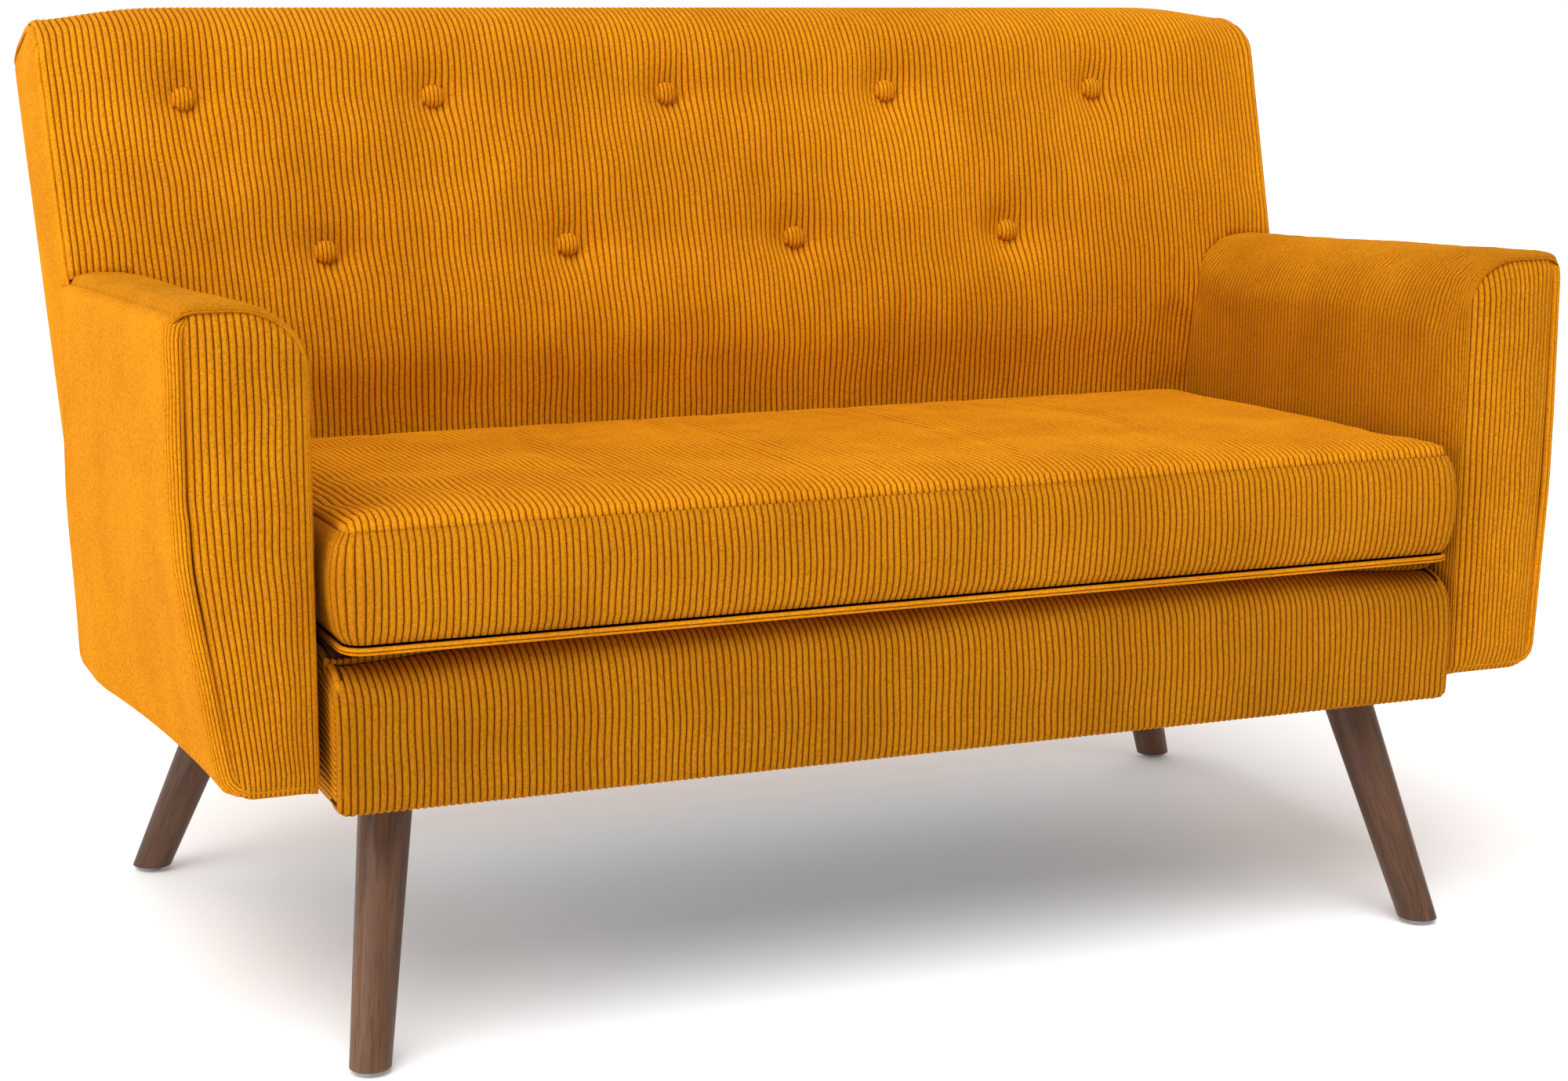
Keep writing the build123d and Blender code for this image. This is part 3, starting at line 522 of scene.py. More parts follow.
def woven_material(name, dark, light, pitch):
    """A plain weave: two crossed sets of threads this far apart."""
    material, add, link, shader = new_material(name)
    place = add("TexCoord").outputs["Object"]
    weave = add("Math", operation="MULTIPLY")
    for direction, socket in zip("XY", weave.inputs):
        wave = add("TexWave", bands_direction=direction, Scale=0.314 / pitch, Distortion=0.4, Detail=1.0)
        link(place, wave.inputs["Vector"])
        link(wave.outputs["Fac"], socket)
    tone = ramp(add, link, weave.outputs[0], (0.0, dark), (0.8, light))
    mottle = noise(add, link, place, Scale=30.0, Detail=4.0)
    shade = ramp(add, link, mottle, (0.3, (0.82, 0.82, 0.82)), (0.7, WHITE))
    link(multiplied(add, link, 1.0, tone, shade), shader.inputs["Base Color"])
    add_relief(add, link, shader, weave.outputs[0], 0.5, 0.0004)
    set_shader(shader, Roughness=0.9)
    return material


NO_STRETCH = (1, 1, 1)
PLAIN_LOOKS = {  # dark tone, light tone, noise scale, roughness, bump, stretch, metallic
    "glide_plastic": ((0.32, 0.32, 0.34), (0.41, 0.41, 0.43), 300, 0.5, 0.1, NO_STRETCH, 0.0),
    "zinc_steel": ((0.50, 0.51, 0.53), (0.68, 0.69, 0.70), 160, 0.34, 0.1, NO_STRETCH, 1.0),
    "black_steel": ((0.012, 0.012, 0.013), (0.026, 0.026, 0.028), 400, 0.5, 0.3, NO_STRETCH, 0.0),
    "clip_steel": ((0.42, 0.42, 0.43), (0.58, 0.58, 0.58), 120, 0.4, 0.1, NO_STRETCH, 1.0),
    "tie_nylon": ((0.62, 0.60, 0.54), (0.76, 0.74, 0.68), 500, 0.45, 0.2, NO_STRETCH, 0.0),
    "hardboard": ((0.13, 0.07, 0.03), (0.22, 0.13, 0.065), 260, 0.7, 0.3, NO_STRETCH, 0.0),
    "foam": ((0.70, 0.64, 0.42), (0.82, 0.77, 0.58), 450, 0.95, 0.8, NO_STRETCH, 0.0),
    "frame_timber": ((0.46, 0.28, 0.12), (0.66, 0.46, 0.25), 70, 0.7, 0.4, (1, 9, 9), 0.0),
}
WOVEN_LOOKS = {  # dark tone, light tone, distance between threads
    "deck_cloth": ((0.30, 0.20, 0.08), (0.52, 0.37, 0.16), 0.0012),
    "dust_cloth": ((0.008, 0.008, 0.009), (0.030, 0.030, 0.032), 0.0010),
    "webbing": ((0.02, 0.017, 0.015), (0.11, 0.09, 0.08), 0.0020),
}
CORDUROY = corduroy_material()
HARDWARE = {name: plain_material(name, *look) for name, look in PLAIN_LOOKS.items()}
HARDWARE |= {name: woven_material(name, *look) for name, look in WOVEN_LOOKS.items()}


def dress(piece, material, body="sofa", stands_for=()):
    """Gives a finished piece its material, attaches it to its body and hides the CAD parts that it stands
    for.
    """
    piece.data.materials.append(material)
    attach(piece, body)
    if stands_for:
        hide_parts(*stands_for)
    return piece


# ---------------------------------------------------------------- back
def slope_point(along, depth):
    """(y, z) of a point of the back, from its distance up the slope and its depth from the rear face."""
    return (
        BACK_REAR_AT_FLOOR + along * sin(BACK_LEAN) - depth * cos(BACK_LEAN),
        along * cos(BACK_LEAN) + depth * sin(BACK_LEAN),
    )


def rear_face_y(height):
    """How far back the back's rear face is at this height."""
    return BACK_REAR_AT_FLOOR + height * tan(BACK_LEAN)


BREAK_HEIGHT = (LUMBAR_FACE - BACK_REAR_AT_FLOOR + BACK_DEPTH / cos(BACK_LEAN)) / tan(BACK_LEAN)
BACK_CORE = (0, rear_face_y(0.6) - BACK_DEPTH / 2, 0.6)
BACK_ROLL = 0.008  # the front panel's side edges roll over by this much before the side seam
TOP_SEAM = 0.035  # the front panel ends this far down the rear face
BUTTONS = [
    (BUTTON_SHIFT + (i - (count - 1) / 2) * BUTTON_SPACING, along)
    for along, count in BUTTON_ROWS
    for i in range(count)
]


def back_half(z):
    """Half the back's width at this height."""
    return BACK_SIDE - 0.001 - BACK_TAPER * np.maximum(BACK_BOX[1].z - TAPER_START - z, 0)


def outside_arm(x, y, z):
    """How far a place is outside an arm's inner and top faces, whose common edge is rounded."""
    across = ARM_TOP_ROUND - (x - ARM_INNER)
    below = ARM_TOP_ROUND - (arm_top(y) - z)
    corner = np.hypot(np.maximum(across, 0), np.maximum(below, 0))
    return corner + np.minimum(np.maximum(across, below), 0) - ARM_TOP_ROUND


def sweep_across(line, half_width):
    """A grid of copies of a (y, z) line, spread across the sofa."""
    xs = np.linspace(-half_width, half_width, int(round(2 * half_width / STEP)) + 1)
    grid = np.zeros((len(xs), len(line), 3))
    grid[..., 0] = xs[:, None]
    grid[..., 1:] = line[None]
    return grid


def back_front_panel():
    """The ribbed panel, which runs down to the deck, over the top and down to the rear top seam."""
    half = BACK_SIDE - 0.001
    deck_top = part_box("deck_cloth")[1].z
    line = evenly(
        rounded_line(
            [
                (LUMBAR_FACE + 0.006, deck_top - 0.003),
                (LUMBAR_FACE, BACK_FOOT + 0.030),
                (LUMBAR_FACE, BREAK_HEIGHT),
                slope_point(BACK_TOP, BACK_DEPTH),
                slope_point(BACK_TOP, 0),
                slope_point(BACK_TOP - TOP_SEAM, 0),
            ],
            [0.05, 0.09, BACK_FRONT_ROUND, BACK_REAR_ROUND],
        )
    )
    grid = facing_out(sweep_across(line, half), BACK_CORE)
    x = grid[..., 0]
    v = np.arange(len(line)) * span(grid, 1) / (len(line) - 1) + 0 * x
    side = half - np.abs(x)
    top_start = np.linalg.norm(line - slope_point(BACK_TOP - BACK_FRONT_ROUND, BACK_DEPTH), axis=1).argmin()
    over_top = smooth((v - v[0, top_start]) / 0.06)
    free = smooth(np.minimum(side / 0.10, (v - 0.10) / 0.12)) * (1 - over_top)
    push = 0.005 * free - round_off(side, BACK_ROLL)
    before_seam = smooth((v[0, -1] - v) / TOP_SEAM)
    push = push - 0.012 * over_top * before_seam * (1 - smooth(side / 0.16)) ** 2
    nearest = np.full(x.shape, 1.0)
    for button_x, along in BUTTONS:
        row = np.linalg.norm(line - slope_point(along, BACK_DEPTH), axis=1).argmin()
        du, dv = x - button_x, v - v[0, row]
        distance = np.hypot(du, dv)
        nearest = np.minimum(nearest, distance)
        beyond = np.maximum(distance - 0.8 * BUTTON_RADIUS, 0)
        push = push - BUTTON_SINK * np.exp(-((beyond / 0.022) ** 1.25))
        push = push - 0.0030 * np.exp(-((dv / 0.017) ** 2) - np.abs(du) / 0.075)
    push = push + 0.004 * free * (1 - np.exp(-((nearest / 0.09) ** 2)))
    grid = grid + normals(grid) * push[..., None]
    grid[..., 0] *= back_half(grid[..., 2]) / half

    def inside(share_u, share_v):
        y, z = (np.interp(share_v, np.linspace(0, 1, len(line)), column) for column in line.T)
        return outside_arm(np.abs(share_u - 0.5) * 2 * back_half(z), y, z) + ARM_OVERLAP

    shares = np.meshgrid(np.linspace(0, 1, grid.shape[0]), np.linspace(0, 1, grid.shape[1]), indexing="ij")
    held = (inside(*shares) < 0.012) | (nearest < BUTTON_RADIUS) | (over_top > 0.98)
    held[[0, 1, -2, -1]] = True
    held[:, :6] = True
    grid = settle(grid, held, BACK_CORE, pressure=0.5, cap=0.005, growth=0.002)
    return cloth_shell("back_front", grid, BACK_CORE, inside=inside, row=0.010, seed=2)


def back_side_panel(name, side):
    """A panel between the front and rear seams. Its wales run up the slope, so each has its own ends."""
    depths = np.linspace(BACK_ROLL * 0.7, BACK_DEPTH - BACK_ROLL * 0.5, 31)
    from_rear, from_front = depths - depths[0] + 0.002, depths[-1] - depths + 0.002
    arm_rear = (ARM_REAR - 0.004 - BACK_REAR_AT_FLOOR + depths * cos(BACK_LEAN)) / sin(BACK_LEAN)
    arm_high = (arm_top(ARM_REAR) - 0.014 - depths * sin(BACK_LEAN)) / cos(BACK_LEAN)
    foot = (BACK_FOOT + 0.006 - depths * sin(BACK_LEAN)) / cos(BACK_LEAN)
    low = np.maximum(foot, np.minimum(arm_rear, arm_high)) + round_off(from_rear, 0.022)
    high = BACK_TOP - 0.019 - round_off(from_front, BACK_FRONT_ROUND - BACK_ROLL)
    high = (high - round_off(from_rear, BACK_REAR_ROUND - BACK_ROLL))[:, None]
    along = low[:, None] + (high - low[:, None]) * np.linspace(0, 1, 46)
    y, z = slope_point(along, depths[:, None])
    edge = np.minimum.reduce([from_rear[:, None] + 0 * y, from_front[:, None] + 0 * y, high - along])
    x = side * (back_half(z) - 0.003 + 0.004 * smooth(edge / 0.05))
    return cloth_shell(f"back_{name}_side", np.stack([x, y, z], 2), (0, 0.2, 0.6), tuck=0.003, seed=3)


def back_rear_panel():
    """The plain panel of the rear face. At its foot it turns in, level, towards the arms' rear edges."""
    half = BACK_SIDE - 0.001
    line = evenly(
        rounded_line(
            [
                (ARM_REAR + 0.004, BACK_FOOT + 0.002),
                (rear_face_y(BACK_FOOT), BACK_FOOT + 0.002),
                slope_point(BACK_TOP - TOP_SEAM, 0),
            ],
            [0.028],
        )
    )
    grid = facing_out(sweep_across(line, half), BACK_CORE)
    side = half - np.abs(grid[..., 0])
    bulge = 0.004 * smooth(side / 0.2) * np.sin(np.linspace(0, pi, len(line)))
    grid = grid + normals(grid) * (bulge - round_off(side, BACK_ROLL))[..., None]
    grid[..., 0] *= back_half(grid[..., 2]) / half
    return cloth_shell("back_rear", grid, BACK_CORE, row=0.012, seed=4)


def covered_button(name, centre_x, along):
    """A domed button in the same corduroy, with its wales up the slope."""
    depth = BACK_DEPTH - BUTTON_SINK + 0.002
    u = np.linspace(-0.985, 0.985, 15) * BUTTON_RADIUS
    half = np.sqrt(BUTTON_RADIUS**2 - u**2)
    share = np.linspace(-1, 1, 15)
    s = half[:, None] * share
    radius = np.hypot(u[:, None], s) / BUTTON_RADIUS
    rise = 0.0100 * np.sqrt(np.clip(1 - radius**2 * 0.985, 0, 1)) - 0.003 * (radius > 0.97)
    y, z = slope_point(along + s, depth + rise)
    grid = np.stack([centre_x + u[:, None] + 0 * y, y, z], 2)
    core = (centre_x, *slope_point(along, depth - 0.05))
    return cloth_shell(name, grid, core, row=0.0022, tuck=0.0012, depth=0.0012, seed=5)


def build_back():
    cover = back_front_panel()
    dress(cover, CORDUROY, stands_for=["back_front_panel", "back_padding"])
    for name, side in SIDES.items():
        panel = back_side_panel(name, side)
        dress(panel, CORDUROY, stands_for=[f"back_{name}_side_panel"])
    dress(back_rear_panel(), CORDUROY, stands_for=["back_rear_panel"])
    for number, (centre_x, along) in enumerate(BUTTONS, 1):
        button = covered_button(f"back_button_{number}", centre_x, along)
        dress(button, CORDUROY, stands_for=["back_buttons"])


# ---------------------------------------------------------------- arms
ARM_TOP_ROUND = 0.060  # inner top edge
ARM_OUTER_ROUND = 0.022
ARM_BELLY = 0.017  # how far the outer side's foot is rounded
SEAM_SWING = {"left": 1.0, "right": 0.25}  # the right arm's seam hardly swings
ARM_FRONT_ROLL = 0.020  # the outer panel turns round the front edge over this length
FRONT_EDGE_INSET = 0.013  # how far that turn draws the front seam in from the arm's side
SWING_LENGTH = 0.40  # the seam's inward swing fades out over this length of the arm
ARM_CORE = ((ARM_INNER + ARM_OUTER) / 2, (ARM_FRONT + ARM_REAR) / 2, 0.43)
FRONT_SEAM_LOW = 0.47  # below this height the front panel's outer seam swings inward


def arm_top(y):
    """Height of the arm's top at this y."""
    return ARM_HIGH.z - ARM_FALL * (y - ARM_FRONT) / (ARM_REAR - ARM_FRONT)


def seam_swing(z):
    """How far the front panel's outer seam swings inward at this height."""
    drop = np.maximum(FRONT_SEAM_LOW - z, 0)
    return 0.148 * np.maximum(drop - 0.03 * smooth(drop / 0.06), 0)


def rear_turn(y, z):
    """How far the outer side turns in towards the arm's rear edge, most at its foot."""
    radius = 0.010 + 0.028 * smooth((0.42 - z) / 0.17)
    return radius - np.sqrt(radius**2 - np.clip(radius - (ARM_REAR - y), 0, radius) ** 2)


def arm_section(y):
    """(x, z) line round the arm at this y, from its inner foot over the top and back underneath."""
    top = arm_top(y)
    low = ARM_LOW.z
    return rounded_line(
        [
            (ARM_INNER + 0.001, low),
            (ARM_INNER + 0.001, top),
            (ARM_OUTER - 0.001, top),
            (ARM_OUTER + 0.001, 0.40),
            (ARM_OUTER - 0.002, low),
            (ARM_INNER + 0.012, low),
        ],
        [ARM_TOP_ROUND, ARM_OUTER_ROUND, 0.5, ARM_BELLY],
    )


def split_section(y, count_inner, count_outer):
    """The section's inner-and-top part and its outer part, which meet on the outer top round."""
    line = evenly(arm_section(y), count=400)
    seam = np.hypot(line[:, 0] - ARM_OUTER, line[:, 1] - arm_top(y)).argmin()
    return evenly(line[: seam + 1], count=count_inner), evenly(line[seam:], count=count_outer)


def arm_grids(swing):
    """Coarse grids of an arm's inner-and-top panel and of its outer panel, y first, as on the right."""
    roll = ARM_FRONT_ROLL
    angles = np.linspace(0, pi / 2, 5)
    turning = [(ARM_FRONT + 0.002 + roll * (1 - cos(a)), 1 - sin(a)) for a in angles]
    straight = [(y, 0.0) for y in np.linspace(ARM_FRONT + 0.002 + roll, ARM_REAR - 0.002, 50)[1:]]
    inner_rows, outer_rows = [], []
    underside_end = ARM_INNER + 0.012
    for y, turned in turning + straight:
        inner, outer = split_section(y, 62, 46)
        outer = outer.copy()
        x, z = outer.T.copy()
        fade = max(0, 1 - ((y - ARM_FRONT) / SWING_LENGTH) ** 2)
        drawn = turned * FRONT_EDGE_INSET + swing * fade * seam_swing(z) + rear_turn(y, z)
        outer[:, 0] -= drawn * np.clip((x - underside_end) / (ARM_OUTER - underside_end - 0.018), 0, 1)
        outer[:, 1] -= turned * 0.004 * smooth((z - 0.5) / 0.1)
        outer[:, 1] += turned * 0.009 * (1 - smooth((z - ARM_LOW.z) / 0.03))
        inner = inner.copy()
        tight = 0.006 * turned
        inner[:, 0] += tight * (1 - smooth((inner[:, 1] - 0.55) / 0.05))
        inner[:, 1] -= tight * smooth((inner[:, 1] - 0.58) / 0.04)
        inner_rows.append(np.c_[inner[:, 0], np.full(len(inner), y), inner[:, 1]])
        outer_rows.append(np.c_[outer[:, 0], np.full(len(outer), y), outer[:, 1]])
    return np.array(inner_rows), np.array(outer_rows)


def arm_front_grid(swing):
    """The front panel: its inner edge is straight, its outer edge follows the swinging seam."""
    inner_x = ARM_INNER + 0.004
    nominal = ARM_OUTER - 0.014
    top = arm_top(ARM_FRONT) - 0.005
    low = ARM_LOW.z - 0.001
    share = np.linspace(0, 1, 25)[:, None]
    x_top = inner_x + (nominal - inner_x) * share
    inner_round = round_off(x_top - inner_x + 0.002, ARM_TOP_ROUND - 0.004)
    high = top - inner_round - round_off(nominal - x_top + 0.001, 0.014)
    foot = low + round_off((1 - share) * 0.066 + 0.001, 0.015) + 0 * high
    z = foot + (high - foot) * np.linspace(0, 1, 42)[None, :]
    outer_x = ARM_OUTER - FRONT_EDGE_INSET - swing * seam_swing(z) - 0.001
    x = inner_x + (outer_x - inner_x) * share
    edge = np.minimum.reduce([x - inner_x, outer_x - x, high - z, z - foot])
    y = ARM_FRONT + 0.003 - 0.007 * smooth(edge / 0.03)
    return np.stack([x, y, z], 2)


def arm_rear_grid():
    """The plain panel that closes the arm at the rear, below and behind the back."""
    z = np.linspace(ARM_LOW.z + 0.004, arm_top(ARM_REAR) - 0.012, 36)[None, :]
    outer_x = ARM_OUTER - 0.005 - rear_turn(ARM_REAR - 0.002, z)
    x = ARM_INNER + 0.004 + (outer_x - ARM_INNER - 0.004) * np.linspace(0, 1, 11)[:, None]
    return np.stack(np.broadcast_arrays(x, ARM_REAR - 0.0005, z), 2)


def build_arms():
    for name, side in SIDES.items():
        inner, outer = arm_grids(SEAM_SWING[name])
        held = np.zeros(inner.shape[:2], bool)
        held[:3] = held[-2:] = True
        held[:, :4] = held[:, -2:] = True
        settled = settle(inner, held, ARM_CORE, pressure=0.5, cap=0.003, growth=0.002)
        panels = (
            ("inner", settled, [f"arm_{name}_inner_panel", f"arm_{name}_padding"]),
            ("outer", outer, [f"arm_{name}_outer_panel"]),
            ("front", arm_front_grid(SEAM_SWING[name]), [f"arm_{name}_front_panel"]),
            ("rear", arm_rear_grid(), []),
        )
        core = (side * ARM_CORE[0], *ARM_CORE[1:])
        for seed, (part, grid, stands_for) in enumerate(panels, 10):
            nap = NAP_AND_PAINTED_SHADE.get(f"arm_{part}", 1.0)
            panel = cloth_shell(f"arm_{name}_{part}", grid * (side, 1, 1), core, nap=nap, seed=seed)
            dress(panel, CORDUROY, stands_for=stands_for)


# ---------------------------------------------------------------- base
FRONT_END_FALL = 0.011  # how much lower the base's top edge is at its ends
FRONT_END_LENGTH = 0.20  # that fall is spread over this length
BASE_REAR_RISE = 0.008  # the rear panel's upper edge ends this far up inside the back
DECK_HEM_FALL = 0.009  # how far the deck's front edge is drawn down to the front strip
DECK_HEM_LENGTH = 0.05
SPRING_SPACING = 0.130
SPRING_DIP = 0.0013
DUST_SHEET_INSET = 0.066  # the dust sheet stops this far inside the leg plates' outer edges
BASE_CORE = (0, (BASE_LOW.y + ARM_REAR) / 2, (BASE_LOW.z + BASE_HIGH.z) / 2)


def base_front_panel():
    """The strip over the front rail, with a rolled upper edge. Its ends turn in at the corners."""
    half = BASE_HIGH.x + 0.001
    front = BASE_LOW.y
    line = evenly(
        rounded_line(
            [
                (BASE_HIGH.y + 0.012, BASE_HIGH.z - 0.003),
                (front + 0.008, BASE_HIGH.z + 0.001),
                (front - 0.001, (BASE_HIGH.z + BASE_LOW.z) / 2),
                (front + 0.002, BASE_LOW.z - 0.001),
                (front + 0.030, BASE_LOW.z),
            ],
            [0.034, 0.2, 0.008],
        ),
        step=0.006,
    )
    grid = facing_out(sweep_across(line, half), BASE_CORE)
    side = half - np.abs(grid[..., 0])
    grid = grid + normals(grid) * (-round_off(side, 0.004))[..., None]
    near_top = smooth((grid[..., 2] - BASE_HIGH.z + 0.05) / 0.05)
    grid[..., 2] -= FRONT_END_FALL * near_top * (1 - smooth(side / FRONT_END_LENGTH))
    return cloth_shell("base_front", grid, BASE_CORE, row=0.007, nap=NAP_AND_PAINTED_SHADE["base_front"], seed=20)


def base_side_panel(name, side):
    """A side of the base, whose wales run front to back."""
    y = np.linspace(BASE_LOW.y + 0.004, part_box("base_rear_cover")[1].y - 0.002, 60)[None, :]
    from_front = y - y[0, 0]
    front_fall = FRONT_END_FALL * (1 - smooth(from_front / 0.08))
    top = BASE_HIGH.z - 0.004 - round_off(from_front + 0.002, 0.030) - front_fall
    low = BASE_LOW.z + 0.001
    z = low + (top - low) * np.linspace(0, 1, 14)[:, None]
    edge = np.minimum(z - low, top - z)
    x = side * (BASE_HIGH.x - 0.003 + 0.003 * smooth(edge / 0.02))
    grid = np.stack(np.broadcast_arrays(x, y, z), 2)
    return cloth_shell(f"base_{name}_side", grid, (0, 0, BASE_CORE[2]), nap=NAP_AND_PAINTED_SHADE["base_side"], seed=21)


def base_rear_panel():
    """The plain panel over the rear rail, slightly bowed."""
    low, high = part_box("base_rear_cover")
    z = np.linspace(low.z + 0.001, high.z + BASE_REAR_RISE, 15)
    line = np.c_[high.y + 0.0015 * np.sin(np.linspace(0, pi, 15)), z]
    return cloth_shell("base_rear", sweep_across(line, high.x - 0.002), (0, 0, BASE_CORE[2]), seed=22)


def deck():
    """The platform cloth under the cushion. It dips between the springs and is sewn to the front strip."""
    low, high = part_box("deck_cloth")
    half = high.x - 0.006
    x = np.linspace(-half, half, 106)[:, None]
    y = np.linspace(low.y, high.y - 0.002, 54)[None, :]
    edge = np.minimum(np.minimum(x + half, half - x), np.minimum(y - low.y, high.y - y))
    springs = SPRING_DIP * (np.cos(2 * pi * x / SPRING_SPACING) - 1) * smooth(edge / 0.05)
    end_fall = FRONT_END_FALL * (1 - smooth((half - np.abs(x)) / FRONT_END_LENGTH))
    sewn_down = (DECK_HEM_FALL + end_fall) * (1 - smooth((y - low.y) / DECK_HEM_LENGTH))
    z = high.z - 0.001 - 0.004 * smooth(edge / 0.16) - sewn_down + springs
    grid = np.stack(np.broadcast_arrays(x, y, z), 2)
    return cloth_shell("deck_platform", grid, (0, 0, 0), wale=0.03, depth=0.0, tuck=0.001, seed=23)


def dust_sheet():
    """Black cloth stapled under the frame, with a slight sag."""
    low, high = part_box("dust_cover")
    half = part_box("leg_plates")[1].x - DUST_SHEET_INSET
    x = np.linspace(-half, half, 90)[:, None]
    y = np.linspace(low.y, high.y, 54)[None, :]
    edge = np.minimum(np.minimum(x + half, half - x), np.minimum(y - low.y, high.y - y))
    z = low.z - 0.0005 - 0.004 * smooth(edge / 0.14)
    grid = np.stack(np.broadcast_arrays(x, y, z), 2)
    return cloth_shell("dust_sheet", grid, (0, 0, 0.5), wale=0.03, depth=0.0, tuck=0.0005, seed=24)


def build_base():
    front = base_front_panel()
    dress(front, CORDUROY, stands_for=["base_front_cover", "base_front_padding"])
    for name, side in SIDES.items():
        panel = base_side_panel(name, side)
        dress(panel, CORDUROY, stands_for=[f"base_{name}_cover"])
    dress(base_rear_panel(), CORDUROY, stands_for=["base_rear_cover"])
    dress(deck(), HARDWARE["deck_cloth"], stands_for=["deck_cloth", "deck_pad"])
    dress(dust_sheet(), HARDWARE["dust_cloth"], stands_for=["dust_cover"])


# ---------------------------------------------------------------- seat cushion
SEAM_INSET = 0.006  # the seams lie this far inside the cushion's widest line
SEAM_HALF = CUSHION_HIGH.x - SEAM_INSET
SEAM_FRONT = CUSHION_LOW.y + SEAM_INSET
SEAM_REAR = CUSHION_HIGH.y - SEAM_INSET
TOP_SEAM_HEIGHT = CUSHION_HIGH.z - 0.008
TOP_SEAM_FALL = 0.014  # how much lower the top seam is at the rear than at the front
LOW_SEAM_HEIGHT = CUSHION_LOW.z + 0.0085
CUSHION_CORNER = 0.018
CUSHION_SHOULDER = 0.010  # the top rises this much over its rounded edge
CUSHION_CROWN = 0.008  # and this much more towards the middle
CUSHION_CORE = (0, (SEAM_FRONT + SEAM_REAR) / 2, (TOP_SEAM_HEIGHT + LOW_SEAM_HEIGHT) / 2)


def top_seam(y):
    """Height of the seam round the top at this y."""
    return TOP_SEAM_HEIGHT - TOP_SEAM_FALL * (y - SEAM_FRONT) / (SEAM_REAR - SEAM_FRONT)


def cushion_face(inset, rows=52):
    """x, y and the distance from the edge, over the cushion's rounded outline."""
    half = SEAM_HALF - inset
    x = np.linspace(-half, half, 212)[:, None]
    corner = round_off(half - np.abs(x), CUSHION_CORNER - inset)
    front, rear = SEAM_FRONT + inset + corner, SEAM_REAR - inset - corner
    y = front + (rear - front) * np.linspace(0, 1, rows)[None, :]
    return x + 0 * y, y, np.minimum(half - np.abs(x), np.minimum(y - front, rear - y))


def cushion_top():
    """The crowned top panel, held down along its seam."""
    x, y, edge = cushion_face(0)
    shoulder = CUSHION_SHOULDER * np.sqrt(1 - (1 - np.clip(edge / 0.026, 0, 1)) ** 2)
    crown = CUSHION_CROWN * np.sqrt(np.clip(edge / 0.22, 0, 1)) * smooth(edge / 0.03)
    z = top_seam(y) + shoulder + crown
    grid = np.stack([x, y, z], 2)
    held = np.zeros(x.shape, bool)
    held[:2] = held[-2:] = held[:, :2] = held[:, -2:] = True
    grid = settle(grid, held, CUSHION_CORE, pressure=0.4, cap=0.004, growth=0.002)
    return cloth_shell("seat_cushion_top", grid, CUSHION_CORE, seed=30)


def cushion_outline():
    """The seam line's (x, y) points, from the middle of the rear side round to the same place."""
    half, front, rear = SEAM_HALF, SEAM_FRONT, SEAM_REAR
    corners = [(0, rear), (-half, rear), (-half, front), (half, front), (half, rear), (0, rear)]
    return evenly(rounded_line(corners, [CUSHION_CORNER] * 4), step=0.008)


def outward_of(line):
    """Unit (x, y) directions that point out of a closed outline."""
    ahead = np.roll(line[:-1], -1, 0) - np.roll(line[:-1], 1, 0)
    ahead = np.r_[ahead, ahead[:1]] / np.linalg.norm(ahead[:1])
    out = np.c_[ahead[:, 1], -ahead[:, 0]]
    out = out / np.linalg.norm(out, axis=1, keepdims=True)
    return out * np.sign((out * (line - line.mean(0))).sum())


def ring(line, profile):
    """A grid round the outline: every (out, z) of the profile at every point of the line."""
    out = outward_of(line)
    grid = np.zeros((len(line), len(profile), 3))
    grid[..., :2] = line[:, None] + out[:, None] * profile[None, :, :1]
    grid[..., 2] = profile[None, :, 1]
    return grid


def cushion_boxing():
    """The upright band all round. It bulges most at the front, where nothing holds it."""
    share = np.linspace(0, 1, 13)
    line = cushion_outline()[:-1]
    grid = ring(np.r_[line, line[:1]], np.c_[0.0 * share, share])[:-1]
    grid[..., 2] = LOW_SEAM_HEIGHT + (top_seam(line[:, 1:]) - LOW_SEAM_HEIGHT) * share
    front = smooth((CUSHION_CORE[1] - line[:, 1]) / 0.25)
    bulge = (0.003 + 0.006 * front)[:, None] * np.sin(pi * share) ** 0.7
    grid[..., :2] += outward_of(np.r_[line, line[:1]])[:-1, None] * bulge[..., None]
    stitch_line = TOP_SEAM_HEIGHT - LOW_SEAM_HEIGHT - 0.010
    creases = ((stitch_line, 0.0015),)
    nap = NAP_AND_PAINTED_SHADE["cushion_boxing"]
    core = CUSHION_CORE
    return cloth_shell(
        "seat_cushion_wall", grid, core, closed=True, creases=creases, tuck=0.002, nap=nap, seed=31
    )


def cushion_band():
    """The narrow lower band, whose wales run along the edge."""
    profile = rounded_line(
        [
            (-0.001, LOW_SEAM_HEIGHT),
            (0.003, LOW_SEAM_HEIGHT - 0.004),
            (0.000, CUSHION_LOW.z + 0.0005),
            (-0.018, CUSHION_LOW.z + 0.0003),
        ],
        [0.003, 0.006],
    )
    grid = ring(cushion_outline(), evenly(profile, step=0.003)).transpose(1, 0, 2)
    return cloth_shell("seat_cushion_band", grid, CUSHION_CORE, tuck=0.0008, seed=32)


def cushion_underside():
    """The flat bottom panel, inside the lower band."""
    x, y, edge = cushion_face(0.014, rows=40)
    z = CUSHION_LOW.z + 0.0003 + 0 * edge
    grid = np.stack([x, y, z], 2)
    return cloth_shell("seat_cushion_underside", grid, CUSHION_CORE, tuck=-0.0002, row=0.02, seed=33)


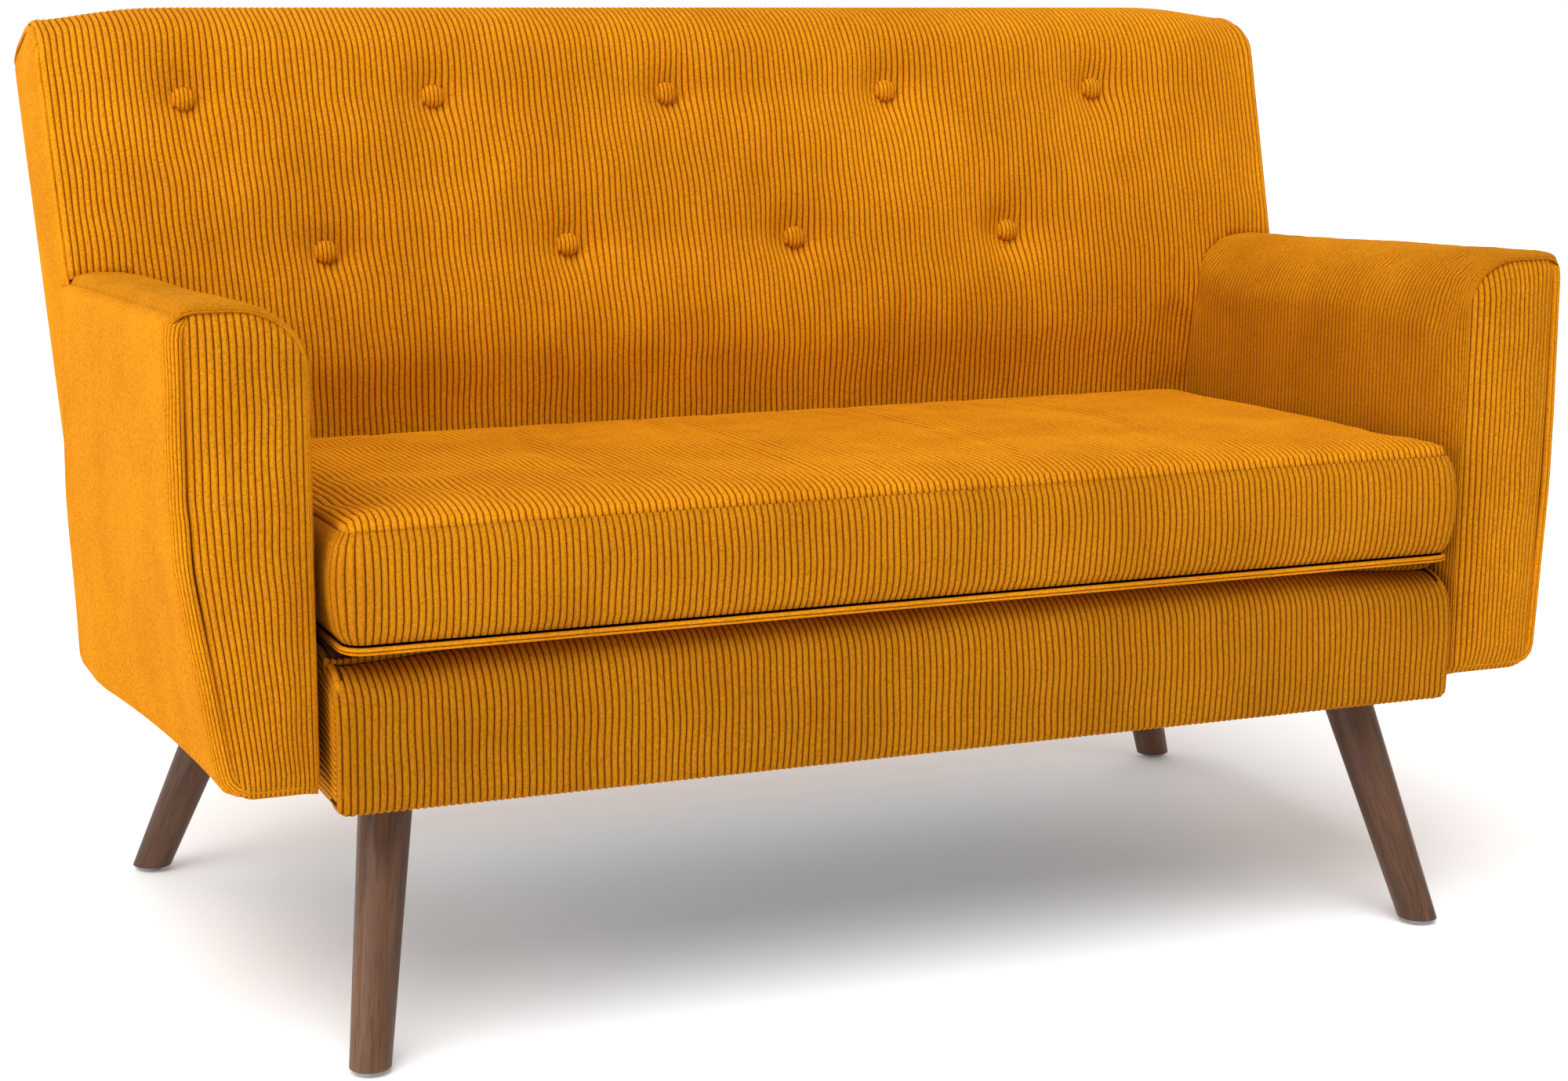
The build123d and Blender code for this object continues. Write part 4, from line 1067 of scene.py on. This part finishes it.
def build_cushion():
    parts = (
        (cushion_top(), ["seat_cushion_top_panel", "seat_cushion_foam"]),
        (cushion_boxing(), ["seat_cushion_boxing"]),
        (cushion_band(), []),
        (cushion_underside(), ["seat_cushion_bottom_panel"]),
    )
    for panel, stands_for in parts:
        dress(panel, CORDUROY, body="seat_cushion", stands_for=stands_for)


# ---------------------------------------------------------------- carried-over CAD parts
def finish_cad_parts():
    """Gives every CAD node its slot's material. A leg's grain runs along that leg."""
    slots = {part["node"]: part["material_slot"] for part in frame["record"]["subparts"]}
    for name, node in frame["nodes"].items():
        if slots[name] == "walnut":
            points = np.array([v.co for v in node.data.vertices])
            high = points[points[:, 2] > points[:, 2].max() - 0.02].mean(0)
            low = points[points[:, 2] < points[:, 2].min() + 0.02].mean(0)
            material = walnut_material(f"walnut_{name}", high - low)
        else:
            material = HARDWARE.get(slots[name], CORDUROY)
        node.data.materials.clear()
        node.data.materials.append(material)


# ---------------------------------------------------------------- stage
FRONT_LIGHT = 0.30  # the studio is white behind the sofa and this bright in front of it and above


def build_floor():
    """A pale floor, which glows a little."""
    mesh = bpy.data.meshes.new("floor")
    reach = 60.0
    corners = [(-reach, -reach, 0), (reach, -reach, 0), (reach, reach, 0), (-reach, reach, 0)]
    mesh.from_pydata(corners, [], [(0, 1, 2, 3)])
    floor = scene_object("floor", mesh)
    material, _, _, shader = new_material("floor")
    set_shader(shader, Base_Color=(0.95, 0.95, 0.95, 1), Roughness=0.9)
    set_shader(shader, Emission_Color=(1.0, 1.0, 1.0, 1), Emission_Strength=0.12)
    mesh.materials.append(material)


def build_studio():
    """White surroundings behind the sofa, which darken towards the front and above."""
    world = bpy.data.worlds.new("studio")
    world.use_nodes = True
    tree = world.node_tree
    axes = tree.nodes.new("ShaderNodeSeparateXYZ")
    tree.links.new(tree.nodes.new("ShaderNodeTexCoord").outputs["Generated"], axes.inputs[0])
    level = tree.nodes.new("ShaderNodeMapRange")
    level.inputs["From Min"].default_value = 0.1
    level.inputs["From Max"].default_value = 0.6
    level.inputs["To Min"].default_value = FRONT_LIGHT
    level.inputs["To Max"].default_value = 1.0
    tree.links.new(axes.outputs["Y"], level.inputs["Value"])
    background = tree.nodes["Background"]
    background.inputs["Color"].default_value = (1.0, 1.0, 1.0, 1)
    tree.links.new(level.outputs["Result"], background.inputs["Strength"])
    bpy.context.scene.world = world


def build_lamps():
    """Soft light from overhead, a key light from the left and a weaker fill from the right."""
    middle = Vector((0, 0, 0.4))
    lamps = (
        ("overhead", "SUN", (-1.1, -1.6, 4.0), 2.7, {"angle": radians(55)}),
        ("key", "AREA", (-3.3, -1.2, 1.1), 33, {"size": 1.7}),
        ("fill", "AREA", (2.6, -2.8, 1.7), 20, {"size": 2.2}),
    )
    for name, kind, place, power, shape in lamps:
        light = bpy.data.lights.new(name, kind)
        light.energy = power
        for key, value in shape.items():
            setattr(light, key, value)
        lamp = scene_object(name, light)
        lamp.location = place
        lamp.rotation_euler = (middle - Vector(place)).to_track_quat("-Z", "Y").to_euler()


def build_camera():
    """The camera at the photograph's angle."""
    camera = bpy.data.cameras.new("camera")
    camera.lens = 66.2
    camera.sensor_width = 36.0
    camera.shift_x = -0.0044
    camera.shift_y = -0.0013
    holder = scene_object("camera", camera)
    right = Vector((0.92151, -0.38833, 0.00517))
    up = Vector((0.07020, 0.17965, 0.98122))
    turned = Matrix((right, up, right.cross(up))).transposed().to_4x4()
    holder.matrix_world = Matrix.Translation((-1.0488, -2.5094, 0.8720)) @ turned
    bpy.context.scene.camera = holder
    bpy.context.scene.view_settings.view_transform = "Standard"


build_back()
build_arms()
build_base()
build_cushion()
finish_cad_parts()
build_floor()
build_studio()
build_lamps()
build_camera()
